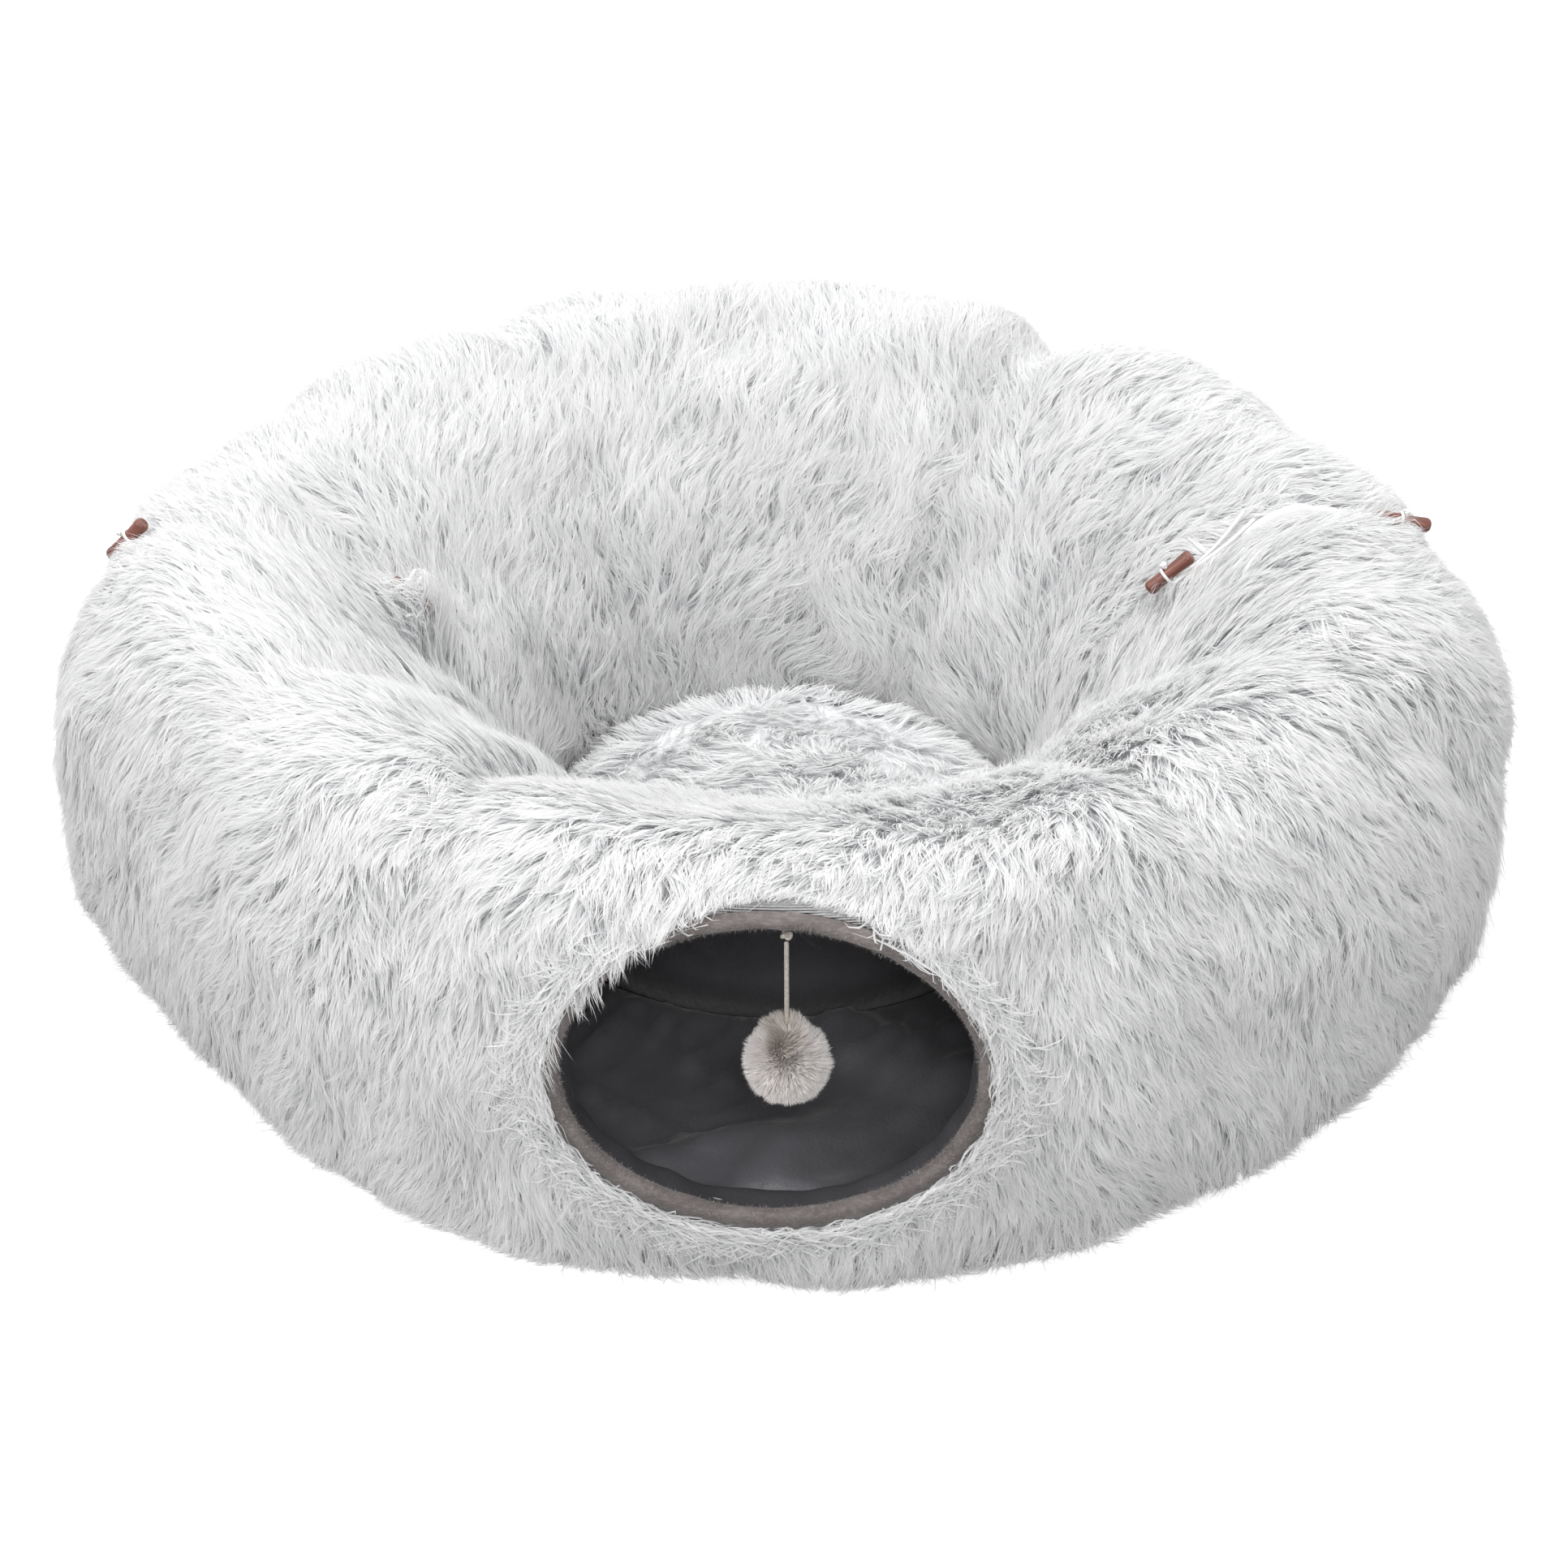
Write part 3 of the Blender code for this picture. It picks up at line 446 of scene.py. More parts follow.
def new_mesh(name, points, corners, sizes, material):
    """A smooth mesh object from arrays of points, of face corners and of corners in each face."""
    mesh = bpy.data.meshes.new(name)
    points = np.ascontiguousarray(points, np.float32).ravel()
    mesh.vertices.add(len(points) // 3)
    mesh.vertices.foreach_set("co", points)
    mesh.loops.add(len(corners))
    mesh.loops.foreach_set("vertex_index", np.ascontiguousarray(corners, np.int32))
    mesh.polygons.add(len(sizes))
    starts = np.concatenate([[0], np.cumsum(sizes)[:-1]]).astype(np.int32)
    mesh.polygons.foreach_set("loop_start", starts)
    mesh.polygons.foreach_set("use_smooth", np.ones(len(sizes), bool))
    mesh.update(calc_edges=True)
    mesh.validate()
    obj = bpy.data.objects.new(name, mesh)
    bpy.context.scene.collection.objects.link(obj)
    mesh.materials.append(material)
    return obj


def from_quads(name, points, quads, material):
    """A mesh object from points and rows of four corners, without the points that no face uses."""
    used, quads = np.unique(quads, return_inverse=True)
    points = points.reshape(-1, 3)[used]
    return new_mesh(name, points, quads.ravel(), np.full(quads.size // 4, 4), material)


def capped(name, points, quads, caps, material):
    """A mesh object from points, rows of four corners and the outlines of its flat ends."""
    corners = np.concatenate([quads.ravel(), *caps])
    sizes = np.array([4] * len(quads) + [len(cap) for cap in caps])
    return new_mesh(name, points, corners, sizes, material)


def grid_faces(columns, rows, wrap_columns=False, wrap_rows=False):
    """Corners of the quads of a grid of points, column by column."""
    i = np.arange(columns if wrap_columns else columns - 1)
    j = np.arange(rows if wrap_rows else rows - 1)
    i, j = (part.ravel() for part in np.meshgrid(i, j, indexing="ij"))
    here, after = i * rows, (i + 1) % columns * rows
    above = (j + 1) % rows
    return np.stack([here + j, after + j, after + above, here + above], axis=1)


def closed_round(name, points, material):
    """A closed form from columns of points round an axis, each from one pole to the other."""
    columns, rows = points.shape[:2]
    quads = grid_faces(columns, rows, wrap_columns=True)[:, ::-1]
    poles = np.arange(columns) * rows
    return capped(name, points, quads, [poles, poles[::-1] + rows - 1], material)


def lathed(radius, height, columns):
    """Columns of points of a profile turned round Z."""
    angle = np.linspace(0, 2 * math.pi, columns, endpoint=False)[:, None]
    height = np.broadcast_to(height, (columns, len(height)))
    return np.stack([radius[None] * np.cos(angle), radius[None] * np.sin(angle), height], axis=-1)


def dress(obj, body, slot, *nodes):
    """Puts a piece on its body, in place of the nodes named. The slot is not used."""
    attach(obj, body)
    if nodes:
        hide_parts(*nodes)
    return obj


def thicken(obj, thickness):
    """Gives a layer its thickness, on its inner side."""
    solid = obj.modifiers.new("thickness", "SOLIDIFY")
    solid.thickness = thickness
    solid.offset = -1.0
    return obj


def ribbons(name, spine, side, half_width, tone, material):
    """Tapered ribbons along spines (n, k + 1, 3), with their width along side (n, 3)."""
    count, rings = spine.shape[0], spine.shape[1] - 1
    width = half_width[:, :, None] * side[:, None, :]
    edges = np.stack([spine[:, :-1] - width, spine[:, :-1] + width], axis=2)
    points = np.concatenate([edges.reshape(count, rings * 2, 3), spine[:, -1:]], axis=1)
    pattern = []
    for k in range(rings - 1):
        pattern += [2 * k, 2 * k + 1, 2 * k + 3, 2 * k + 2]
    pattern += [2 * rings - 2, 2 * rings - 1, 2 * rings]
    pattern = np.array(pattern)
    corners = (np.arange(count)[:, None] * (2 * rings + 1) + pattern).ravel()
    sizes = np.tile([4] * (rings - 1) + [3], count)
    obj = new_mesh(name, points, corners, sizes, material)
    across = np.append(np.tile([0.0, BAKED_WIDTH], rings), BAKED_WIDTH / 2)
    down = np.append(np.repeat(PATH_SHARES[:rings], 2), 1.0)
    uv = np.empty((count, len(pattern), 2), np.float32)
    uv[:, :, 0] = tone[:, None] * (1 - BAKED_WIDTH) + across[pattern]
    uv[:, :, 1] = down[pattern] * 0.96 + 0.02
    layer = obj.data.uv_layers.new(name="OFBake")
    layer.data.foreach_set("uv", uv.ravel())
    return obj


def even_path(path, step):
    """Points at even distances along a path, and their distances from its start."""
    path = np.asarray(path, float)
    lengths = np.concatenate([[0.0], np.cumsum(np.linalg.norm(np.diff(path, axis=0), axis=1))])
    at = np.linspace(0, lengths[-1], max(int(round(lengths[-1] / step)), 2) + 1)
    return np.stack([np.interp(at, lengths, values) for values in path.T], axis=1), at


def smooth_path(path, rounds):
    """The path with its corners rounded."""
    path = np.asarray(path, float)
    for _ in range(rounds):
        low = path[:-1] * 0.75 + path[1:] * 0.25
        high = path[:-1] * 0.25 + path[1:] * 0.75
        rounded = np.stack([low, high], axis=1).reshape(-1, path.shape[1])
        path = np.concatenate([path[:1], rounded, path[-1:]])
    return path


def braided(name, path, diameter, material, pick=0.0021, closed=False):
    """A braided cord along a path, with its strands worked into its surface and round ends."""
    path, at = even_path(path, CORD_STEP)
    ways = unit(np.gradient(path, axis=0))
    side = unit(np.cross(ways[0], [0.31, 0.42, 0.85]))
    sides = []
    for way in ways:
        side = unit(side - way * np.dot(side, way))
        sides.append(side)
    side = np.array(sides)
    up = np.cross(ways, side)
    angle = np.linspace(0, 2 * math.pi, CORD_CORNERS, endpoint=False)
    twist = 2 * math.pi * at[:, None] / (pick * 4)
    lay = np.maximum(np.abs(np.cos(2 * (angle + twist))), np.abs(np.cos(2 * (angle - twist))))
    radius = diameter / 2 * (1 - CORD_DEPTH + CORD_DEPTH * lay)
    if not closed:
        ends = np.minimum(at, at[-1] - at)[:, None] / (diameter / 2)
        radius = radius * np.sqrt(np.clip(1 - (1 - np.minimum(ends, 1)) ** 2, 0.01, 1))
    beside = side[:, None] * (radius * np.cos(angle))[..., None]
    above = up[:, None] * (radius * np.sin(angle))[..., None]
    points = path[:, None] + (beside + above)
    quads = grid_faces(len(path), CORD_CORNERS, wrap_rows=True)[:, ::-1]
    ring = np.arange(CORD_CORNERS)
    caps = [] if closed else [ring, (len(path) - 1) * CORD_CORNERS + ring[::-1]]
    return capped(name, points, quads, caps, material)


def knotted(name, centre, axis, radius, diameter, material):
    """A cord tied in a trefoil knot that fits a ball of this radius."""
    t = np.linspace(0, 2 * math.pi, 161)
    x = np.sin(t) + 2 * np.sin(2 * t)
    y = np.cos(t) - 2 * np.cos(2 * t)
    shape = np.stack([x, y, -1.4 * np.sin(3 * t)], axis=1)
    turn = np.array(Vector(axis).to_track_quat("Z", "Y").to_matrix())
    path = np.asarray(centre) + (shape * (radius * KNOT_SHARE) / 3) @ turn.T
    return braided(name, path, diameter, material, closed=True)


def joined(name, objects):
    """One object from several."""
    bpy.ops.object.select_all(action="DESELECT")
    for obj in objects:
        obj.select_set(True)
    bpy.context.view_layer.objects.active = objects[0]
    bpy.ops.object.join()
    objects[0].name = name
    return objects[0]


def inflate(obj, pressure, cap):
    """Swells a closed form as stuffed cloth, with no point moving further than cap."""
    cloth = obj.modifiers.new("cloth", "CLOTH")
    settings = cloth.settings
    settings.quality = 4
    settings.mass = 0.3
    settings.tension_stiffness = 12
    settings.compression_stiffness = 12
    settings.use_pressure = True
    settings.uniform_pressure_force = pressure
    settings.effector_weights.gravity = 0
    scene = bpy.context.scene
    cloth.point_cache.frame_start = 1
    cloth.point_cache.frame_end = CLOTH_FRAMES
    for step in range(1, CLOTH_FRAMES + 1):
        scene.frame_set(step)
    start = np.empty(len(obj.data.vertices) * 3, np.float32)
    obj.data.vertices.foreach_get("co", start)
    start = start.reshape(-1, 3)
    swollen = obj.evaluated_get(bpy.context.evaluated_depsgraph_get()).to_mesh()
    end = np.empty_like(start)
    swollen.vertices.foreach_get("co", end.ravel())
    obj.modifiers.remove(cloth)
    scene.frame_set(1)
    move = end - start
    far = np.linalg.norm(move, axis=1, keepdims=True)
    move = move * np.minimum(1.0, cap / np.maximum(far, 1e-9))
    obj.data.vertices.foreach_set("co", (start + move).ravel())
    obj.data.update()


# Surfaces that pile grows on


class Grid:
    """A surface kept as values on an even grid over u and v, with noise that its pile follows."""

    def __init__(self, u_span, columns, v_span, rows, rng, wave_lengths):
        self.u_span, self.columns = u_span, columns
        self.v_span, self.rows = v_span, rows
        self.u = np.linspace(*u_span, columns + 1)
        self.v = np.linspace(*v_span, rows + 1)
        self.sweep, self.swirl, self.lump = (Waves(rng, length) for length in wave_lengths)

    def read(self, values, u, v):
        column = (u - self.u_span[0]) / (self.u_span[1] - self.u_span[0]) * self.columns
        row = (v - self.v_span[0]) / (self.v_span[1] - self.v_span[0]) * self.rows
        i = np.clip(column.astype(int), 0, self.columns - 1)
        j = np.clip(row.astype(int), 0, self.rows - 1)
        u = np.clip(column - i, 0, 1)
        v = np.clip(row - j, 0, 1)
        if values.ndim == 3:
            u = u[..., None]
            v = v[..., None]
        low = values[i, j] * (1 - u) + values[i + 1, j] * u
        high = values[i, j + 1] * (1 - u) + values[i + 1, j + 1] * u
        return low * (1 - v) + high * v

    def point(self, u, v):
        return self.read(self.points, u, v)

    def normal(self, u, v):
        return self.read(self.normals, u, v)


class RingSurface(Grid):
    """The pile's mean surface over azimuth and share of the wall's length."""

    def __init__(self, rng):
        super().__init__((0.0, 360.0), 720, (0.0, 1.0), 240, rng, (0.17, 0.06, 0.085))
        fine = np.linspace(0, FULL_TURN, 2 * self.rows + 1)
        radius, height = section(self.u[:, None], fine[None, :])
        steps = np.hypot(np.diff(radius, axis=1), np.diff(height, axis=1))
        lengths = np.concatenate([np.zeros((len(self.u), 1)), np.cumsum(steps, axis=1)], axis=1)
        self.length = lengths[:, -1]
        self.turn = np.array([np.interp(self.v * row[-1], row, fine) for row in lengths])
        azimuth = np.broadcast_to(self.u[:, None], self.turn.shape)
        self.points = ring_point(azimuth, self.turn, 0.0)
        along = np.gradient(self.points, axis=0)
        along[0] = along[-1] = self.points[1] - self.points[-2]
        self.normals = unit(np.cross(along, np.gradient(self.points, axis=1)))
        self.radius = np.hypot(self.points[..., 0], self.points[..., 1])

    def read(self, values, azimuth, share):
        return super().read(values, np.mod(azimuth, 360.0), share)

    def comb(self, azimuth, share, points):
        """Direction (along the ring, over the wall) in which the pile lies."""
        turn = self.read(self.turn, azimuth, share)
        over = np.tanh((turn - PARTING_TURN) / 24)
        along = around(CREST_LEANS, azimuth) * bell(turn - 100, 42)
        along = along + 0.28 * self.sweep(points) + 0.24 * self.swirl(points)
        across, height = mouth_place(azimuth, turn)
        over_mouth = np.exp(-(((across + 0.80) / 0.45) ** 2) - (((height - 0.80) / 0.70) ** 2))
        return unit(np.stack([along + 1.25 * over_mouth, over], axis=-1))

    def walk(self, azimuth, share, way, step):
        """The place one step further on along the surface."""
        radius = self.read(self.radius, azimuth, share)
        wall = np.interp(np.mod(azimuth, 360.0), self.u, self.length)
        azimuth = azimuth + np.degrees(way[:, 0] * step / radius)
        return azimuth, np.clip(share + way[:, 1] * step / wall, 0.003, 0.997)

    def scatter(self, rng, count):
        """Roots spread evenly over the surface, and outside the mouth."""
        azimuth = rng.uniform(0, 360, count * 2)
        share = rng.uniform(0, 1, count * 2)
        wall = np.interp(azimuth, self.u, self.length)
        weight = self.read(self.radius, azimuth, share) * wall
        weight = weight * (1 + 0.6 * self.parted(azimuth, share))
        keep = rng.uniform(0, 1, count * 2) * weight.max() < weight
        azimuth, share = azimuth[keep][:count], share[keep][:count]
        outside = self.inside(azimuth, share) < -0.002
        return azimuth[outside], share[outside]

    def inside(self, azimuth, share):
        """How far over the mouth's edge a place is."""
        return in_mouth(azimuth, self.read(self.turn, azimuth, share))

    def overhang(self, azimuth, share):
        """How far the pile that grows here hangs over the mouth's edge."""
        across, along = mouth_place(azimuth, self.read(self.turn, azimuth, share))
        angle = np.degrees(np.arctan2(along, across))
        reach = np.full(np.shape(azimuth), OVERHANG_LEAST)
        for centre, spread, length in OVERHANGS:
            reach += length * bell(away_from(centre, angle), spread)
        return reach

    def parted(self, azimuth, share):
        """How near the parting a place is."""
        return bell(self.read(self.turn, azimuth, share) - PARTING_TURN, 20)

    def clumping(self, azimuth, share, points):
        """How strongly the pile gathers into locks."""
        turn = self.read(self.turn, azimuth, share)
        crest = bell(turn - 88, 26) * smooth_step(150, 200, np.mod(azimuth, 360.0))
        mouth = np.exp(-np.maximum(-in_mouth(azimuth, turn), 0.0) / 0.03)
        return np.clip(0.15 + 0.34 * crest + 0.30 * mouth + 0.10 * self.lump(points), 0.04, 0.75)


class CushionSurface(Grid):
    """The cushion's mean surface over a disc that is its profile unrolled from the middle."""

    def __init__(self, rng):
        radius, height = cushion_profile(0.0)
        lengths = np.concatenate([[0.0], np.cumsum(np.hypot(np.diff(radius), np.diff(height)))])
        self.reach = lengths[-1]
        span = (-self.reach, self.reach)
        super().__init__(span, 160, span, 160, rng, (0.11, 0.05, 0.06))
        x, y = np.meshgrid(self.u, self.v, indexing="ij")
        away = np.maximum(np.hypot(x, y), 1e-6)
        slopes = (np.gradient(values, lengths) for values in (radius, height))
        out, up, slope_r, slope_z = (
            np.interp(away, lengths, values) for values in (radius, height, *slopes)
        )
        self.points = np.stack([x / away * out, y / away * out, up], axis=-1)
        self.normals = unit(np.stack([-slope_z * x / away, -slope_z * y / away, slope_r], axis=-1))

    def comb(self, x, y, points):
        """Direction in which the pile lies: mixed in the middle, outward at the rim."""
        away = np.maximum(np.hypot(x, y), 1e-6)
        outward = smooth_step(0.06, 0.15, away)
        way_x = 0.5 * self.sweep(points) + 0.3 * self.swirl(points)
        way_x = way_x * (1 - outward) + x / away * outward
        way_y = -(1 - outward) + y / away * outward
        return unit(np.stack([way_x, way_y], axis=-1))

    def walk(self, x, y, way, step):
        """The place one step further on, held inside the foot of the cushion's side."""
        x = x + way[:, 0] * step
        y = y + way[:, 1] * step
        away = np.hypot(x, y)
        inner = np.minimum(1.0, self.reach / np.maximum(away, 1e-9))
        return x * inner, y * inner

    def scatter(self, rng, count):
        """Roots spread evenly over the surface."""
        x = rng.uniform(-self.reach, self.reach, count * 3)
        y = rng.uniform(-self.reach, self.reach, count * 3)
        away = np.hypot(x, y)
        radius = np.linalg.norm(self.point(x, y)[:, :2], axis=-1)
        keep = (away < self.reach - 0.004) & (rng.uniform(0, 1, count * 3) * away < radius)
        return x[keep][:count], y[keep][:count]

    # The cushion has neither a mouth's edge nor a parting

    def inside(self, x, y):
        return np.full(np.shape(x), -1.0)

    def overhang(self, x, y):
        return np.zeros(np.shape(x))

    def parted(self, x, y):
        return np.zeros(np.shape(x))

    def clumping(self, x, y, points):
        """How strongly the pile gathers into locks."""
        return np.clip(0.5 + 0.15 * self.lump(points), 0.2, 0.8)


# Pile


def trace(surface, u, v, bend, length):
    """Places along the pile from each root, at PATH_SHARES of its length."""
    cos, sin = np.cos(bend), np.sin(bend)
    places = [(u, v)]
    for step in np.diff(PATH_SHARES):
        x, y = surface.comb(u, v, surface.point(u, v)).T
        way = np.stack([x * cos - y * sin, x * sin + y * cos], axis=-1)
        u, v = surface.walk(u, v, way, step * length)
        places.append((u, v))
    return tuple(np.stack(values, axis=1) for values in zip(*places))


def trimmed_length(surface, u, v, bend, length, overhang):
    """The length of pile that reaches no further than overhang over the mouth's edge."""
    inside = surface.inside(*trace(surface, u, v, bend, length)) - overhang[:, None]
    reach = np.ones(len(length))
    for k in range(len(PATH_SHARES) - 1, 0, -1):
        before = np.minimum(inside[:, k - 1], -1e-6)
        part = before / (before - np.maximum(inside[:, k], 1e-9))
        cut = PATH_SHARES[k - 1] + part * (PATH_SHARES[k] - PATH_SHARES[k - 1])
        reach = np.where(inside[:, k] > 0, cut, reach)
    return length * reach


def pile_paths(surface, u, v, bend, length, root, tip):
    """World paths of the pile, from under the surface out to its tips."""
    places = trace(surface, u, v, bend, length)
    points = surface.point(*places)
    normals = surface.normal(*places)
    lump = PILE_LUMP * surface.lump(points)
    inset = root[:, None] * (1 - PATH_SHARES) ** 1.5 - tip[:, None] * PATH_SHARES - lump
    return points - normals * inset[..., None], normals


def grow(surface, plan, rng):
    """Spines, sides, half widths and tones of a pile's ribbons, and where each has its root."""
    u, v = surface.scatter(rng, plan["clumps"])
    count = len(u)
    base = surface.point(u, v)
    patchy = Waves(rng, 0.05)
    patch = LENGTH_BY_PATCH * patchy(base)
    length = plan["length"] * (1 + patch + rng.normal(0, LENGTH_BY_CLUMP, count))
    length = np.clip(length, *(plan["length"] * share for share in LENGTH_SHARES))
    overhang = surface.overhang(u, v) * rng.uniform(0.3, 1.15, count)
    bend = rng.normal(0, CLUMP_BEND, count)
    length = trimmed_length(surface, u, v, bend, length, overhang)
    keep = length > plan["length"] * LEAST_LENGTH_SHARE
    u, v, bend, length = u[keep], v[keep], bend[keep], length[keep]
    count = len(u)
    base = surface.point(u, v)
    parted = surface.parted(u, v)
    root = np.minimum(plan["root"] * (1 - 0.5 * parted), length * 0.8)
    lift = 0.0012 + 0.0020 * parted + 0.0008 * Waves(rng, 0.03)(base) + rng.normal(0, 0.0010, count)
    paths, normals = pile_paths(surface, u, v, bend, length, root, lift)

    lock_u, lock_v = surface.scatter(rng, plan["locks"])
    locks = len(lock_u)
    tree = KDTree(locks)
    for k, place in enumerate(surface.point(lock_u, lock_v)):
        tree.insert(place, k)
    tree.balance()
    nearest = np.array([tree.find(place)[1] for place in base])
    lock = (surface, lock_u, lock_v, rng.normal(0, LOCK_BEND, locks))
    length = np.full(locks, plan["length"])
    length = trimmed_length(*lock, length, surface.overhang(lock_u, lock_v))
    root = np.full(locks, plan["root"])
    lock_paths, _ = pile_paths(*lock, length, root, rng.uniform(*LOCK_RISE, locks))
    toward = lock_paths[nearest] - paths
    near = np.linalg.norm(toward[:, -1], axis=-1) < LOCK_REACH
    pull = surface.clumping(u, v, base)[:, None] * PATH_SHARES**1.6
    paths = paths + toward * (pull * near[:, None])[..., None]
    lock_tone = rng.normal(0, LOCK_TONE, locks)[nearest]

    across = unit(np.cross(normals, paths[:, [-1]] - paths[:, [0]]))[:, 2]
    upward = normals[:, 2]
    many = plan["ribbons"]
    paths, across, upward, u, lock_tone = (
        np.repeat(part, many, axis=0) for part in (paths, across, upward, u, lock_tone)
    )
    total = count * many
    stray = rng.uniform(0, 1, total) < STRAY_SHARE
    reach = np.where(stray, rng.uniform(*STRAY_REACH, total), rng.uniform(*STRAND_REACH, total))
    spread = rng.normal(0, ROOT_SPREAD, (total, 2))
    tip_spread = rng.normal(0, TIP_SPREAD, (total, 2)) * np.where(stray, STRAY_SPREAD, 1.0)[:, None]
    tip_spread[:, 1] = np.where(stray, np.abs(tip_spread[:, 1]), tip_spread[:, 1])
    wave = rng.normal(0, STRAND_WAVE, total)
    phase = rng.uniform(0, 2 * math.pi, total)
    forward = unit(np.cross(across, upward))
    rows = np.arange(total)
    spine = np.empty_like(paths)
    for k, place in enumerate(PATH_SHARES):
        at = np.minimum(place * reach, 1.0)
        low = np.clip(np.searchsorted(PATH_SHARES, at, side="right") - 1, 0, len(PATH_SHARES) - 2)
        part = (place * reach - PATH_SHARES[low]) / (PATH_SHARES[low + 1] - PATH_SHARES[low])
        point = paths[rows, low] * (1 - part[:, None]) + paths[rows, low + 1] * part[:, None]
        beside = spread[:, 0] * (1 - place) + tip_spread[:, 0] * place
        beside = (beside + wave * np.sin(phase + 3.5 * place))[:, None]
        ahead = (spread[:, 1] * (1 - place))[:, None]
        raised = (tip_spread[:, 1] * place)[:, None]
        spine[:, k] = point + across * beside + forward * ahead + upward * raised
    twist = rng.normal(0, STRAND_TWIST, total)[:, None]
    side = across * np.cos(twist) + upward * np.sin(twist)
    width = rng.uniform(0.6, 1.25, total) * np.where(stray, 0.5, 1.0)
    half = RIBBON_WIDTH / 2 * width[:, None] * RIBBON_TAPER
    tone = np.clip(0.5 + lock_tone + rng.normal(0, STRAND_TONE, total), 0.0, 1.0)
    return {"spine": spine, "side": side, "half": half, "tone": tone, "u": u}


def near_toggle(spine, toggle):
    """The strands whose middles are near a toggle."""
    return np.flatnonzero(np.linalg.norm(spine[:, 2] - toggle["centre"], axis=-1) < TOGGLE_REACH)


def over_toggles(pile, toggles):
    """Raises the pile round the toggles, takes out what would pass through them, and presses the
    rest down beside the cords that show."""
    spine = pile["spine"]
    for toggle in toggles.values():
        out = toggle["out"]
        close = near_toggle(spine, toggle)
        for middle, height, radius in toggle["mounds"]:
            from_middle = spine[close] - middle
            flat = from_middle - out * (from_middle @ out)[..., None]
            mound = height * np.exp(-np.sum(flat * flat, axis=-1) / radius**2)
            spine[close] += out * (mound * np.minimum(PATH_SHARES * 1.6, 1.0))[..., None]
    keep = np.ones(len(spine), bool)
    for toggle in toggles.values():
        axis, out = toggle["axis"], toggle["out"]
        close = near_toggle(spine, toggle)
        dense = (spine[close][:, :-1] + spine[close][:, 1:]) / 2
        points = np.concatenate([spine[close], dense], axis=1) - toggle["centre"]
        along = np.clip(points @ axis, -TOGGLE_LENGTH / 2, TOGGLE_LENGTH / 2)
        distance = np.linalg.norm(points - along[..., None] * axis, axis=-1)
        through = np.min(distance, axis=1) < TOGGLE_DIAMETER / 2 + TOGGLE_CLEARANCE
        keep[close[through]] = False
        press = np.zeros(spine[close].shape[:2])
        for place, reach in toggle["bare"]:
            away = spine[close] - place
            height = away @ out
            flat = np.linalg.norm(away - height[..., None] * out, axis=-1)
            depth = np.maximum(height + 0.0030, 0) * smooth_step(2.2, 0.9, flat / reach)
            press = np.maximum(press, depth)
        spine[close] -= out * press[..., None]
    for key in pile:
        pile[key] = pile[key][keep]


def make_fringe(material, rng):
    """Loose curving strands along the mouth's edge, which lie over the felt's outer part."""
    angle = rng.uniform(0, 2 * math.pi, FRINGE_STRANDS)
    top = np.exp(-(((np.degrees(angle) - FRINGE_GAP[0]) / FRINGE_GAP[1]) ** 4))
    keep = rng.uniform(0, 1, FRINGE_STRANDS) > 1.01 * top
    angle = angle[keep]
    count = len(angle)
    margin = rng.uniform(*FRINGE_MARGINS, count)
    length = rng.uniform(*FRINGE_LENGTHS, count)
    limit = 0.0030 + 0.0050 * rng.uniform(0, 1, count) ** 3
    # Headings are from the edge's own direction, anticlockwise, toward the hole
    down = np.arctan2(np.sin(angle), -np.cos(angle))
    along = rng.choice([0.0, math.pi], count)
    floor = smooth_step(-0.15, -0.55, np.sin(angle))
    heading = np.where(rng.uniform(0, 1, count) < floor, along, down) + rng.normal(0, 0.55, count)
    curl = rng.normal(0, 1.5, count)
    rise = rng.uniform(0.0005, 0.0045, count) + 0.0025 * floor
    places = []
    for share, after in zip(PATH_SHARES, [*PATH_SHARES[1:], 1.0]):
        depth = 0.0045 * (1 - share) ** 1.5 - rise * share
        azimuth, turn = from_mouth(angle, margin)
        places.append(ring_point(azimuth, turn, depth))
        step = (after - share) * length
        reach = np.hypot(MOUTH_WIDTH / 2 * np.sin(angle), MOUTH_HALF_LENGTH * np.cos(angle))
        angle = angle + np.cos(heading) * step / reach
        margin = np.minimum(margin + np.sin(heading) * step, limit)
        heading = heading + curl * (after - share)
    spine = np.stack(places, axis=1)
    side = unit(np.cross(spine[:, -1] - spine[:, 0], rng.normal(size=(count, 3))))
    half = RIBBON_WIDTH / 2 * rng.uniform(0.55, 1.5, count)[:, None] * FRINGE_TAPER
    fringe = ribbons("mouth_fringe", spine, side, half, rng.uniform(0.3, 1.0, count), material)
    return dress(fringe, "front_half", "fur")


def strands(name, pile, pick, material):
    """The ribbons of part of a pile, none of them under the floor's level."""
    spine, side, half, tone = (pile[key][pick] for key in ("spine", "side", "half", "tone"))
    spine[:, :, 2] = np.maximum(spine[:, :, 2], LEAST_HEIGHT)
    return ribbons(name, spine, side, half, tone, material)


